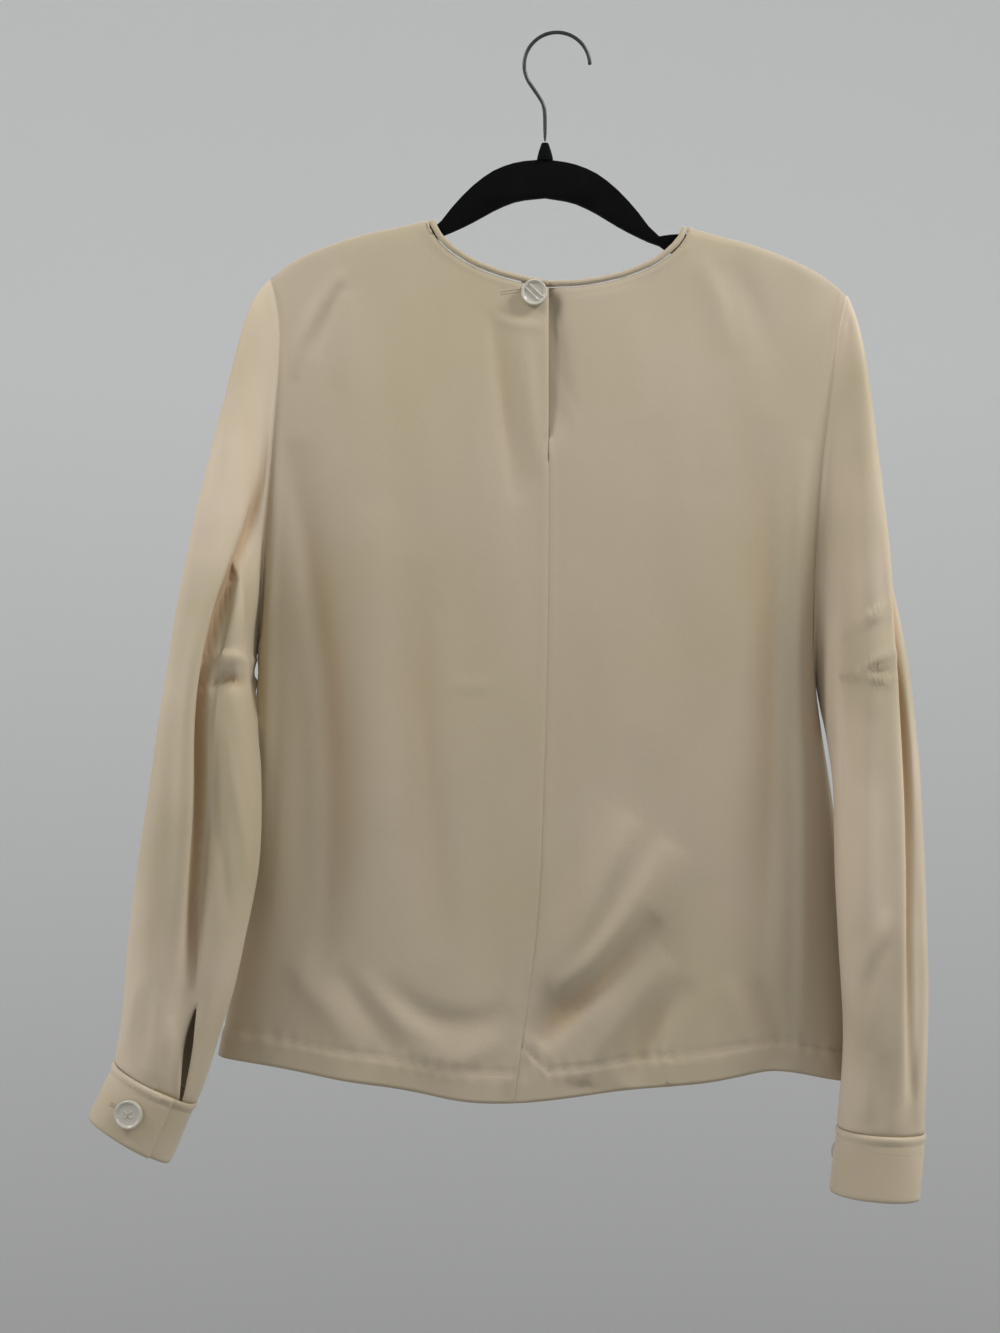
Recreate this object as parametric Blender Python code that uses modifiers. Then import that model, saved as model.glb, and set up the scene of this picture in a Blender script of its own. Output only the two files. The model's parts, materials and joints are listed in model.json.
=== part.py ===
"""A silk blouse on a hanger, at its real size.

The blouse hangs by the hanger's wire hook. The origin is where the hook rests on its nail, +Z is up,
the blouse's back faces -Y and its front faces +Y. All sizes are in metres.

Each panel is one flat grid, set out between its own cut edges, given the depth of the hanging cloth,
and then given the thickness of the cloth. Neighbours stop GAP apart at every seam.
"""
import math
from collections import namedtuple

import bmesh
import bpy
from mathutils import Vector

# ---- driving sizes ------------------------------------------------------------------------------
CLOTH = 0.0012            # thickness of a panel's wall
GAP = 0.0003              # clearance between neighbouring pieces
CORNER_GAP = 0.0003       # more of it where a seam's walls turn a corner
BINDING_GAP = 0.0005
TILT = 0.027              # the hanger dips this much to the right, per metre across
TURN_RADIUS = 0.005       # how tightly the cloth turns over the hanger's top

NECK_X = 0.005            # middle of the neck
NECK_HALF = 0.091         # from there to the neck point on each side
NECK_TOP = -0.1315        # height of the neck points, before the tilt
NECK_ROUND = 1.85         # 2 is an ellipse, more is squarer
BACK_NECK_DROP = 0.047
FRONT_NECK_DROP = 0.078
BINDING_RADIUS = 0.0024

SLIT_BOTTOM = -0.300      # where the slit at the back of the neck ends
LAP_WIDTH = 0.022         # how far the right back runs under the left at the neck
LAP_DEPTH = 0.0056        # how far under it lies
SIDE_ROUND = 2.4          # how squarely the body turns at its side seams

ARMHOLE_GAP = 2 * GAP     # the armhole's walls lean, so their outer edges stand further apart

SLEEVE_COLUMNS = 24
SLEEVE_POWER = 0.85       # how full a sleeve's cross-section is: 1 is an ellipse

CUFF_WALL = 0.0020
CUFF_LAP = math.radians(65.0)
CUFF_LAP_DEPTH = CUFF_WALL + 2 * GAP
CUFF_LAP_EASE = (0.05, 0.65)   # radians past the lap over which the band steps out again
CUFF_START = {"left": math.radians(60.0), "right": math.radians(215.0)}
CUFF_COLUMNS = 34
CUFF_LENGTH = 0.043

NECK_BUTTON = 0.0090      # radius
NECK_BUTTON_PLACE = (-0.0121, -0.1832)   # x and z
CUFF_BUTTON = 0.0095      # radius
CUFF_SHANK = 0.0012
CUFF_BUTTON_SHARE = 0.895   # how far round a cuff its button lies

HANGER_X = -0.0042        # middle of the hanger
HANGER_THICK = 0.0050
HANGER_REACH = 0.182      # from the middle to the end of an arm
HANGER_UNDER_CLOTH = CLOTH + 0.0034
HANGER_DIP = 0.0022       # how much lower the arms start than they run on
HANGER_STEPS = 24         # along the top of one arm
ARM_HEIGHT = 0.016
WIRE_RADIUS = 0.0015
HOOK_RADIUS = 0.0230      # of the wire's middle line
HOOK_X = 0.0042
HOOK_END_ANGLE = 215.0    # degrees round from the tip, where the wire leaves the hook's arc
HOOK_STEPS = 30
COLLAR_TOP = -0.0757
COLLAR_BOTTOM = -0.0872

# Columns of the neckline, in degrees from the middle of the neck; the underlap has its own.
NECK_ANGLES = [math.radians(a) for a in (12, 24, 36, 48, 60, 72, 82)]
LAP_ANGLES = [math.radians(a) for a in (-9, -3.5, -0.5, 2.5, 6)]
BINDING_OVER_HANGER = math.radians(87)
LAP_STEP = (0.0005, 0.0075)   # across this distance from its crease the underlap steps in

# ---- tables -------------------------------------------------------------------------------------
# The shoulder line, measured out from the middle of the neck and down from the nail.
Shoulder = namedtuple("Shoulder", "out down")
SHOULDER = [
    Shoulder(0.090, 0.1315),
    Shoulder(0.103, 0.1358),
    Shoulder(0.131, 0.1413),
    Shoulder(0.150, 0.1475),
    Shoulder(0.168, 0.1545),
    Shoulder(0.184, 0.1625),
    Shoulder(0.201, 0.1755),
]

# How far the middle of the back and of the front stand off the hanger's plane, by the drop below
# the shoulder line.
Hang = namedtuple("Hang", "drop back front")
HANG = [
    Hang(0.000, 0.0052, 0.0052),
    Hang(0.006, 0.0068, 0.0066),
    Hang(0.018, 0.0090, 0.0082),
    Hang(0.045, 0.0120, 0.0100),
    Hang(0.120, 0.0215, 0.0150),
    Hang(0.250, 0.0340, 0.0210),
    Hang(0.400, 0.0430, 0.0260),
    Hang(0.640, 0.0500, 0.0310),
]

# The armhole and then the side seam on each side. back and front are how far the two armhole edges
# stand from the hanger's plane; below the underarm they meet.
Edge = namedtuple("Edge", "z x back front")
LEFT_EDGE = [
    Edge(-0.1702, -0.1960, 0.0052, 0.0052),
    Edge(-0.1930, -0.1895, 0.0092, 0.0082),
    Edge(-0.2200, -0.1880, 0.0126, 0.0100),
    Edge(-0.2600, -0.1905, 0.0176, 0.0125),
    Edge(-0.3200, -0.1950, 0.0225, 0.0150),
    Edge(-0.3800, -0.1990, 0.0185, 0.0130),
    Edge(-0.4320, -0.2030, 0.0000, 0.0000),
    Edge(-0.5000, -0.2095, 0.0000, 0.0000),
    Edge(-0.6000, -0.2155, 0.0000, 0.0000),
    Edge(-0.6800, -0.2260, 0.0000, 0.0000),
    Edge(-0.7130, -0.2320, 0.0000, 0.0000),
]
RIGHT_EDGE = [
    Edge(-0.1811, 0.2060, 0.0052, 0.0052),
    Edge(-0.2040, 0.2000, 0.0092, 0.0082),
    Edge(-0.2340, 0.1960, 0.0126, 0.0100),
    Edge(-0.2830, 0.1890, 0.0182, 0.0125),
    Edge(-0.3400, 0.1830, 0.0225, 0.0150),
    Edge(-0.4050, 0.1810, 0.0185, 0.0130),
    Edge(-0.4580, 0.1840, 0.0000, 0.0000),
    Edge(-0.5200, 0.1945, 0.0000, 0.0000),
    Edge(-0.6200, 0.2075, 0.0000, 0.0000),
    Edge(-0.7000, 0.2110, 0.0000, 0.0000),
    Edge(-0.7310, 0.2120, 0.0000, 0.0000),
]
UNDERARM_ROW = 6          # the row of both tables above where the armhole ends

Centre = namedtuple("Centre", "z x")
CENTRE_BACK = [
    Centre(-0.178, -0.0017),
    Centre(-0.400, -0.0028),
    Centre(-0.512, -0.0055),
    Centre(-0.626, -0.0105),
    Centre(-0.698, -0.0210),
    Centre(-0.737, -0.0265),
]
HEM = [
    Centre(-0.7130, -0.232),
    Centre(-0.7155, -0.195),
    Centre(-0.7225, -0.150),
    Centre(-0.7290, -0.100),
    Centre(-0.7360, -0.060),
    Centre(-0.7375, -0.026),
    Centre(-0.7330, 0.020),
    Centre(-0.7270, 0.075),
    Centre(-0.7240, 0.112),
    Centre(-0.7170, 0.152),
    Centre(-0.7220, 0.175),
    Centre(-0.7310, 0.212),
]

# The largest folds. Each is a soft ridge (height above 0) or trough (below 0) along a straight line
# that fades at both ends. On the body the line runs from (x, z) to (x, z).
BodyFold = namedtuple("BodyFold", "x_top z_top x_low z_low width height")
BACK_FOLDS = [
    BodyFold(-0.196, -0.230, -0.190, -0.690, 0.010, 0.0045),     # ridge beside the left armhole
    BodyFold(-0.176, -0.240, -0.158, -0.760, 0.017, -0.0080),    # broad trough inside it
    BodyFold(0.172, -0.250, 0.172, -0.800, 0.012, 0.0060),       # ridge where the right side turns
    BodyFold(-0.040, -0.185, -0.022, -0.345, 0.009, -0.0040),    # trough left of the slit
    BodyFold(0.050, -0.545, 0.012, -0.690, 0.024, 0.0060),       # lower right, slanting
    BodyFold(0.080, -0.620, 0.020, -0.800, 0.018, -0.0060),
    BodyFold(-0.160, -0.640, -0.120, -0.820, 0.018, 0.0050),     # lower left
    BodyFold(-0.066, -0.640, -0.046, -0.840, 0.022, 0.0060),
    BodyFold(0.152, -0.640, 0.152, -0.840, 0.018, -0.0055),      # dip in the hem on the right
]
FRONT_FOLDS = [
    BodyFold(-0.165, -0.260, -0.150, -0.800, 0.020, 0.0050),
    BodyFold(0.160, -0.300, 0.150, -0.800, 0.020, 0.0060),
    BodyFold(-0.070, -0.420, -0.100, -0.860, 0.026, -0.0050),
    BodyFold(0.060, -0.460, 0.085, -0.860, 0.024, -0.0055),
]

# A sleeve is a tube of rings. Each ring runs from a point on the outer side to one on the inner side;
# mid is how far its middle stands towards the back, deep its half depth.
Ring = namedtuple("Ring", "along out_x out_z in_x in_z mid deep")
LEFT_SLEEVE = [
    Ring(0.00, -0.1960, -0.1702, -0.2030, -0.4320, 0.000, 0.024),
    Ring(0.06, -0.2085, -0.1810, -0.2085, -0.4460, 0.005, 0.025),
    Ring(0.14, -0.2155, -0.2060, -0.2075, -0.4660, 0.018, 0.027),
    Ring(0.27, -0.2290, -0.2790, -0.2010, -0.4970, 0.034, 0.029),
    Ring(0.40, -0.2470, -0.3570, -0.1985, -0.5310, 0.045, 0.030),
    Ring(0.54, -0.2640, -0.4600, -0.1995, -0.5770, 0.049, 0.030),
    Ring(0.68, -0.2760, -0.5430, -0.2065, -0.6170, 0.049, 0.030),
    Ring(0.82, -0.2870, -0.6170, -0.2150, -0.6610, 0.046, 0.028),
    Ring(0.92, -0.2920, -0.6750, -0.2280, -0.7000, 0.041, 0.027),
    Ring(1.00, -0.2985, -0.7105, -0.2425, -0.7395, 0.036, 0.026),
]
RIGHT_SLEEVE = [
    Ring(0.00, 0.2060, -0.1811, 0.1840, -0.4580, 0.000, 0.024),
    Ring(0.06, 0.2115, -0.1920, 0.1865, -0.4720, 0.004, 0.025),
    Ring(0.14, 0.2165, -0.2190, 0.1890, -0.4880, 0.012, 0.028),
    Ring(0.27, 0.2235, -0.2900, 0.1915, -0.5120, 0.028, 0.030),
    Ring(0.40, 0.2290, -0.3620, 0.1925, -0.5380, 0.038, 0.032),
    Ring(0.54, 0.2430, -0.4550, 0.1920, -0.5800, 0.043, 0.033),
    Ring(0.68, 0.2510, -0.5500, 0.1935, -0.6300, 0.046, 0.033),
    Ring(0.82, 0.2555, -0.6400, 0.1970, -0.6840, 0.045, 0.031),
    Ring(0.92, 0.2555, -0.7100, 0.1965, -0.7270, 0.040, 0.029),
    Ring(1.00, 0.2545, -0.7590, 0.1950, -0.7560, 0.034, 0.028),
]
# Each cuff carries on from its sleeve's last ring to this one.
CUFF_END = {
    "left": Ring(2.00, -0.3166, -0.7480, -0.2604, -0.7805, 0.036, 0.025),
    "right": Ring(2.00, 0.2516, -0.8050, 0.1896, -0.8003, 0.034, 0.027),
}

# A sleeve's folds: where along it they start and end, and how far across from the outer side (0) to
# the inner side (1) they lie there.
SleeveFold = namedtuple("SleeveFold", "start end across_start across_end width height")
LEFT_SLEEVE_FOLDS = [
    SleeveFold(0.15, 1.04, 0.42, 0.70, 0.085, -0.018),
    SleeveFold(0.06, 0.52, 0.80, 0.74, 0.070, 0.004),
]
RIGHT_SLEEVE_FOLDS = [
    SleeveFold(0.03, 0.58, 0.66, 0.86, 0.100, -0.016),
    SleeveFold(0.30, 1.05, 0.20, 0.24, 0.060, -0.007),
]

# Where round the ring a wrist slit lies: 0 is the outer side, 180 the inner side, back first.
Slit = namedtuple("Slit", "along angle half_width")
LEFT_SLIT = [
    Slit(0.00, 117.0, 0.0),
    Slit(0.86, 117.0, 0.0),
    Slit(0.93, 121.0, 7.0),
    Slit(1.00, 135.0, 3.0),
]
RIGHT_SLIT = [
    Slit(0.00, 262.0, 0.0),
    Slit(0.86, 262.0, 0.0),
    Slit(0.93, 268.0, 5.0),
    Slit(1.00, 278.0, 3.0),
]

# The hanger's arch beside its middle: half width, top and lower edge, down from the nail.
Arch = namedtuple("Arch", "out top low")
ARCH = [
    Arch(0.000, 0.0876, 0.1141),
    Arch(0.020, 0.0903, 0.1172),
    Arch(0.036, 0.0965, 0.1242),
    Arch(0.048, 0.1052, 0.1312),
    Arch(0.057, 0.1138, 0.1360),
    Arch(0.065, 0.1228, 0.1398),
    Arch(0.071, 0.1310, 0.1425),
    Arch(0.080, 0.1395, 0.1455),
]


# ---- small tools --------------------------------------------------------------------------------
def eased(rows, key, column, place):
    """A column's value at a place along a table, passing smoothly through its rows."""
    keys = [getattr(row, key) for row in rows]
    values = [getattr(row, column) for row in rows]
    if keys[0] > keys[-1]:
        keys.reverse()
        values.reverse()
    if place <= keys[0]:
        return values[0]
    if place >= keys[-1]:
        return values[-1]
    last = len(keys) - 1
    i = next(n for n in range(last) if place <= keys[n + 1])
    slopes = []
    for n in (i, i + 1):
        before, after = max(n - 1, 0), min(n + 1, last)
        slopes.append((values[after] - values[before]) / (keys[after] - keys[before]))
    span = keys[i + 1] - keys[i]
    t = (place - keys[i]) / span
    return ((2 * t ** 3 - 3 * t ** 2 + 1) * values[i] + (t ** 3 - 2 * t ** 2 + t) * span * slopes[0]
            + (3 * t ** 2 - 2 * t ** 3) * values[i + 1] + (t ** 3 - t ** 2) * span * slopes[1])


def mix(a, b, t):
    return a + (b - a) * t


def smooth(low, high, value):
    """0 below low, 1 above high, and an even ease between."""
    t = min(max((value - low) / (high - low), 0.0), 1.0)
    return t * t * (3 - 2 * t)


def bump(across, width):
    return math.exp(-(across / width) ** 2)


def fade(t):
    """0 at both ends of a fold and 1 in its middle."""
    return math.sin(math.pi * t) ** 0.7 if 0.0 < t < 1.0 else 0.0


def material(name, colour, roughness, metallic=0.0):
    mat = bpy.data.materials.new(name)
    mat.diffuse_color = (*colour, 1.0)
    mat.use_nodes = True
    shader = mat.node_tree.nodes["Principled BSDF"]
    shader.inputs["Base Color"].default_value = (*colour, 1.0)
    shader.inputs["Roughness"].default_value = roughness
    shader.inputs["Metallic"].default_value = metallic
    return mat


def add_object(name, data, mat):
    obj = bpy.data.objects.new(name, data)
    data.materials.append(mat)
    PARTS.objects.link(obj)
    return obj


def cloth(name, columns, rows, place, wall, mat, flip=False):
    """A grid laid out by place(u, v) over lists of u and v, with a wall on its inner side."""
    bm = bmesh.new()
    bmesh.ops.create_grid(bm, x_segments=len(columns) - 1, y_segments=len(rows) - 1, size=1.0)
    for vert in bm.verts:
        column = round((vert.co.x + 1) / 2 * (len(columns) - 1))
        row = round((vert.co.y + 1) / 2 * (len(rows) - 1))
        vert.co = place(columns[column], rows[row])
    bmesh.ops.remove_doubles(bm, verts=bm.verts, dist=GAP / 10)
    if flip:
        bmesh.ops.reverse_faces(bm, faces=bm.faces)
    mesh = bpy.data.meshes.new(name)
    bm.to_mesh(mesh)
    bm.free()
    obj = add_object(name, mesh, mat)
    solid = obj.modifiers.new("wall", "SOLIDIFY")
    solid.thickness = wall
    solid.offset = -1.0
    return obj


def turned(name, profile, steps, mat):
    """A closed profile of (radius, height) turned round Z."""
    mesh = bpy.data.meshes.new(name)
    count = len(profile)
    mesh.from_pydata([(r, 0.0, h) for r, h in profile], [(n, n + 1) for n in range(count - 1)], [])
    obj = add_object(name, mesh, mat)
    screw = obj.modifiers.new("turn", "SCREW")
    screw.steps = screw.render_steps = steps
    screw.use_merge_vertices = True
    screw.merge_threshold = 0.00001
    screw.use_normal_flip = True
    return obj


def tube(name, points, radius, resolution, mat):
    curve = bpy.data.curves.new(name, "CURVE")
    curve.dimensions = "3D"
    curve.bevel_depth = radius
    curve.bevel_resolution = resolution
    curve.use_fill_caps = True
    curve.resolution_u = 1
    line = curve.splines.new("POLY")
    line.points.add(len(points) - 1)
    for point, where in zip(line.points, points):
        point.co = (*where, 1.0)
    return add_object(name, curve, mat)


# ---- the body -----------------------------------------------------------------------------------
EDGES = {"left": LEFT_EDGE, "right": RIGHT_EDGE}
SIGN = {"left": -1, "right": 1}
NECK_DROP = {"back": BACK_NECK_DROP, "front": FRONT_NECK_DROP}
FACE_SIGN = {"back": -1, "front": 1}
FOLDS = {"back": BACK_FOLDS, "front": FRONT_FOLDS}
STRIP = 0.995             # the column that runs straight on to a side's edge
TOP_STRIP = 0.001         # the row that runs straight on from the top edge
STRIP_WIDTH = 0.0012      # how far both are from the edge
NECK_SHARE = 0.42         # share of a panel's columns, measured across, that lie under the neck
ARMHOLE_SHARE = 0.50      # share of its length that lies beside the armhole
LAP_SHARE = 0.185         # share of its length that has an underlap
SLIT_SHARE = 0.215        # share of its length that has the neck slit


def shoulder_height(x):
    return -eased(SHOULDER, "out", "down", abs(x - NECK_X)) - TILT * x


def edge_depth(side, face, z):
    """How far a side's armhole edge stands off the hanger's plane at a height; 0 below the armhole."""
    if z <= EDGES[side][UNDERARM_ROW].z:
        return 0.0
    return eased(EDGES[side], "z", face, z)


def shoulder_slope(x):
    """How much the shoulder line drops per metre towards +X."""
    return (shoulder_height(x - 0.001) - shoulder_height(x + 0.001)) / 0.002


def centre_back(z):
    return eased(CENTRE_BACK, "z", "x", z)


def drop_turn(x, z):
    """How far the cloth has turned over the hanger: 0 on the shoulder line, 1 once it hangs."""
    drop = min(max(shoulder_height(x) - z, 0.0) / TURN_RADIUS, 1.0)
    return math.sqrt(1.0 - (1.0 - drop) ** 2)


def fold_depth(face, x, z):
    total = 0.0
    for fold in FOLDS[face]:
        t = (z - fold.z_top) / (fold.z_low - fold.z_top)
        total += fold.height * fade(t) * bump(x - mix(fold.x_top, fold.x_low, t), fold.width)
    return total


def body_y(face, x, z):
    """The outer surface of the body at (x, z)."""
    side = "left" if x < centre_back(z) else "right"
    edge_x = eased(EDGES[side], "z", "x", z)
    edge = edge_depth(side, face, z)
    middle = eased(HANG, "drop", face, shoulder_height(x) - z)
    reach = min(max((x - NECK_X) / (edge_x - NECK_X), 0.0), 1.0)
    roundness = (1.0 - reach ** SIDE_ROUND) ** (1 / SIDE_ROUND)
    turn = drop_turn(x, z)
    folds = fold_depth(face, x, z) * (1.0 - reach ** 8) * turn
    at_neck_point = bump(abs(x - NECK_X) - NECK_HALF, 0.006) * (1.0 - turn)
    apart = GAP / 2 + CORNER_GAP * max(at_neck_point, reach ** 40)
    return FACE_SIGN[face] * (apart + turn * mix(edge, middle, roundness) + folds)


def neck_edge(angle, face, inset=0.0):
    """A point on the neckline; angle runs from the middle (0) to a neck point (90 degrees)."""
    def on_edge(at):
        across = math.sin(min(max(at, -math.pi / 2), math.pi / 2))
        x = NECK_X + NECK_HALF * across
        drop = NECK_DROP[face] * (1.0 - abs(across) ** NECK_ROUND) ** (1 / NECK_ROUND)
        return Vector((x, NECK_TOP - drop - TILT * x))

    along = (on_edge(angle + 0.02) - on_edge(angle - 0.02)).normalized()
    point = on_edge(angle) + Vector((-along.y, along.x)) * inset
    return point.x, point.y


def edge_point(side, share):
    """A point on a side's edge: share runs from the shoulder point (0) by the underarm to the hem (1)."""
    rows = EDGES[side]
    underarm = rows[UNDERARM_ROW].z
    if share < ARMHOLE_SHARE:
        z = mix(rows[0].z, underarm, share / ARMHOLE_SHARE)
    else:
        z = mix(underarm, rows[-1].z, (share - ARMHOLE_SHARE) / (1 - ARMHOLE_SHARE))
    return eased(rows, "z", "x", z), z


def hem_height(x):
    return eased(HEM, "x", "z", x)


def panel_place(face, side, first_angle, inner_edge, seam_offset=0.0):
    """The function that lays out one half of the back or front, from its inner edge (u = 0) to its
    side (u = 1) and from its top (v = 0) to the hem (v = 1)."""
    sign = SIGN[side]
    first = math.sin(first_angle)

    def top(u):
        if u <= NECK_SHARE:
            across = mix(first, 1.0, u / NECK_SHARE)
            return neck_edge(math.asin(sign * across), face)
        shoulder_x = EDGES[side][0].x
        neck_x = NECK_X + sign * NECK_HALF
        x = mix(neck_x, shoulder_x, (u - NECK_SHARE) / (1 - NECK_SHARE))
        return x, shoulder_height(x)

    def low(u):
        x = mix(inner_edge(1.0)[0], edge_point(side, 1.0)[0], u)
        return x, hem_height(x)

    def place(u, v):
        corner = [[top(0), low(0)], [top(1), low(1)]]
        flat = []
        for axis in (0, 1):
            ruled = mix(top(u)[axis], low(u)[axis], v) + mix(inner_edge(v)[axis], edge_point(side, v)[axis], u)
            plain = mix(mix(corner[0][0][axis], corner[0][1][axis], v),
                        mix(corner[1][0][axis], corner[1][1][axis], v), u)
            flat.append(ruled - plain)
        x, z = flat
        if u < 1e-6:
            x += seam_offset
        return Vector((x, body_y(face, x, z), z))

    def place_with_strip(u, v):
        if v == TOP_STRIP:
            if u >= NECK_SHARE:
                return place_with_strip(u, 0.0) + Vector((0.0, FACE_SIGN[face] * STRIP_WIDTH, 0.0))
            across = sign * mix(first, 1.0, u / NECK_SHARE)
            x, z = neck_edge(math.asin(across), face, -STRIP_WIDTH)
            return Vector((x, body_y(face, x, z), z))
        if u != STRIP:
            return place(u, v)
        end = place(1.0, v)
        middle = eased(HANG, "drop", face, shoulder_height(end.x) - end.z)
        turned_in = smooth(0.0, 0.9, 1.0 - edge_depth(side, face, end.z) / middle) * math.pi / 2
        step = Vector((-sign * math.cos(turned_in), FACE_SIGN[face] * math.sin(turned_in), 0.0))
        if v == 0.0:
            step.z = -shoulder_slope(end.x) * step.x
        return end + step * STRIP_WIDTH

    return place_with_strip


def rows_down():
    """Close rows where the cloth turns over the hanger, then even ones."""
    near_top = [0.0, TOP_STRIP, 0.0035, 0.0090, 0.030, 0.065, 0.110, 0.150, LAP_SHARE, SLIT_SHARE]
    return near_top + [0.285, 0.355, 0.425, ARMHOLE_SHARE, 0.57, 0.64, 0.71, 0.78, 0.85, 0.92, 0.965, 1.0]


def columns_across(angles):
    """Columns at these neckline angles, then closing up towards the side."""
    first = math.sin(angles[0])
    neck = [NECK_SHARE * (math.sin(a) - first) / (1.0 - first) for a in angles]
    rest = [mix(NECK_SHARE, 1.0, share) for share in (0.19, 0.37, 0.53, 0.67, 0.79, 0.88, 0.945, 0.98)]
    return neck + rest + [STRIP, 1.0]


def lap_place():
    """The right back: at the neck it runs on under the left back, and it steps in to do so."""
    first = math.asin((-LAP_WIDTH - NECK_X) / NECK_HALF)
    top_x, top_z = neck_edge(first, "back")
    hem_z = hem_height(centre_back(-1.0))
    start_z = neck_edge(0.0, "back")[1]

    def inner(v):
        z = mix(start_z, hem_z, v)
        if v == 0.0:
            return top_x, top_z
        return centre_back(z) - LAP_WIDTH * (1.0 - smooth(0.0, LAP_SHARE, v) ** 1.5), z

    flat = panel_place("back", "right", first, inner, seam_offset=GAP / 2)

    def place(u, v):
        point = flat(u, v)
        step = 1.0 - smooth(*LAP_STEP, point.x - lap_crease(point.z))
        point.y += LAP_DEPTH * step * smooth(SLIT_BOTTOM, SLIT_BOTTOM + 0.035, point.z)
        return point

    return place


def lap_crease(z):
    """The right back's crease bows away from the slit and comes back to its end."""
    along = min(max((z - SLIT_BOTTOM) / 0.120, 0.0), 1.0)
    return centre_back(z) + 0.0085 * math.sin(math.pi * along ** 0.8)


def left_place():
    start_z = neck_edge(0.0, "back")[1]
    hem_z = hem_height(centre_back(-1.0))
    first = math.asin((NECK_X - centre_back(0.0)) / NECK_HALF)

    def inner(v):
        z = mix(start_z, hem_z, v)
        return centre_back(z), z

    return panel_place("back", "left", first, inner, seam_offset=-GAP / 2), first


def build_backs(mat):
    place, first = left_place()
    angles = [first] + NECK_ANGLES + [math.pi / 2]
    cloth("back_left", columns_across(angles), rows_down(), place, CLOTH, mat)
    first = math.asin((-LAP_WIDTH - NECK_X) / NECK_HALF)
    angles = [first] + LAP_ANGLES + NECK_ANGLES + [math.pi / 2]
    cloth("back_right", columns_across(angles), rows_down(), lap_place(), CLOTH, mat, flip=True)


def build_front(mat):
    """One piece, laid out as two mirror halves that share their middle column."""
    middle_x = NECK_X
    start_z = neck_edge(0.0, "front")[1]

    def inner(v):
        return middle_x, mix(start_z, hem_height(middle_x), v)

    halves = {side: panel_place("front", side, 0.0, inner) for side in SIGN}
    half = columns_across([0.0] + NECK_ANGLES + [math.pi / 2])
    columns = [-u for u in reversed(half[1:])] + half

    def place(u, v):
        return halves["left" if u < 0 else "right"](abs(u), v)

    cloth("front", columns, rows_down(), place, CLOTH, mat)


# ---- the sleeves and cuffs ----------------------------------------------------------------------
SLEEVES = {"left": LEFT_SLEEVE, "right": RIGHT_SLEEVE}
SLEEVE_FOLDS = {"left": LEFT_SLEEVE_FOLDS, "right": RIGHT_SLEEVE_FOLDS}
SLITS = {"left": LEFT_SLIT, "right": RIGHT_SLIT}
SEAM_STRIP = 0.006        # share of a sleeve's length that runs straight on from the armhole
STRIP_LENGTH = 0.0016
BLEND_END = 0.15          # by here the ring has lost the armhole's own shape
BLEND_POWER = 0.7
SHOULDER_POWER = 6        # how closely the slope at the shoulder point keeps to that point
SHOULDER_FALL = 0.55      # the sleeve's slope there, down per metre out


def ring_point(rows, along, angle, folds=()):
    """A point round a ring; the angle runs from the outer side by the back to the inner side."""
    out_x, out_z, in_x, in_z, mid, deep = (eased(rows, "along", name, along) for name in Ring._fields[1:])
    across = (1.0 - math.cos(angle)) / 2
    rise = math.sin(angle)
    depth = deep * math.copysign(abs(rise) ** SLEEVE_POWER, rise)
    if rise > 0:
        for fold in folds:
            t = (along - fold.start) / (fold.end - fold.start)
            line = mix(fold.across_start, fold.across_end, t)
            depth += fold.height * fade(t) * bump(across - line, fold.width) * min(1.0, rise * 1.5)
    return Vector((mix(out_x, in_x, across), -mid - depth, mix(out_z, in_z, across)))


def armhole_point(side, angle):
    """The sleeve's top edge: the armhole's own edge, a gap outside it."""
    rows = EDGES[side]
    z = mix(rows[0].z, rows[UNDERARM_ROW].z, (1.0 - math.cos(angle)) / 2)
    x = eased(rows, "z", "x", z)
    face = "back" if math.sin(angle) > 0 else "front"
    depth = 0.0
    if abs(math.sin(angle)) > 1e-6:
        depth = drop_turn(x, z) * edge_depth(side, face, z)
    return Vector((x + SIGN[side] * ARMHOLE_GAP, FACE_SIGN[face] * depth, z))


def sleeve_place(side):
    slope = Vector((SIGN[side], 0.0, -SHOULDER_FALL)).normalized()
    rows = SLEEVES[side]
    slits = SLITS[side]

    def angle_at(u, along):
        middle = math.radians(eased(slits, "along", "angle", along))
        gap = math.radians(max(eased(slits, "along", "half_width", along), 0.0))
        if along <= slits[1].along:
            gap = 0.0
        return middle + gap + u * (2 * math.pi - 2 * gap)

    def place(u, along):
        angle = angle_at(u, along)
        top = armhole_point(side, angle)
        near_shoulder = ((1.0 + math.cos(angle)) / 2) ** SHOULDER_POWER
        onward = Vector((SIGN[side], 0.0, 0.0)).lerp(slope, near_shoulder)
        top += onward * STRIP_LENGTH * min(along / SEAM_STRIP, 1.0)
        if along <= SEAM_STRIP:
            return top
        ring = ring_point(rows, along, angle, SLEEVE_FOLDS[side])
        return top.lerp(ring, smooth(0.0, BLEND_END, along) ** BLEND_POWER)

    return place


def sleeve_rows():
    near_top = [0.0, SEAM_STRIP, 0.03, 0.06, 0.10, 0.14, 0.20, 0.27, 0.335, 0.40, 0.47, 0.54, 0.61, 0.68]
    return near_top + [0.75, 0.81, 0.86, 0.895, 0.93, 0.965, 1.0]


def build_sleeve(side, mat):
    columns = [n / SLEEVE_COLUMNS for n in range(SLEEVE_COLUMNS + 1)]
    cloth(f"sleeve_{side}", columns, sleeve_rows(), sleeve_place(side), CLOTH, mat, flip=side == "left")


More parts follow.
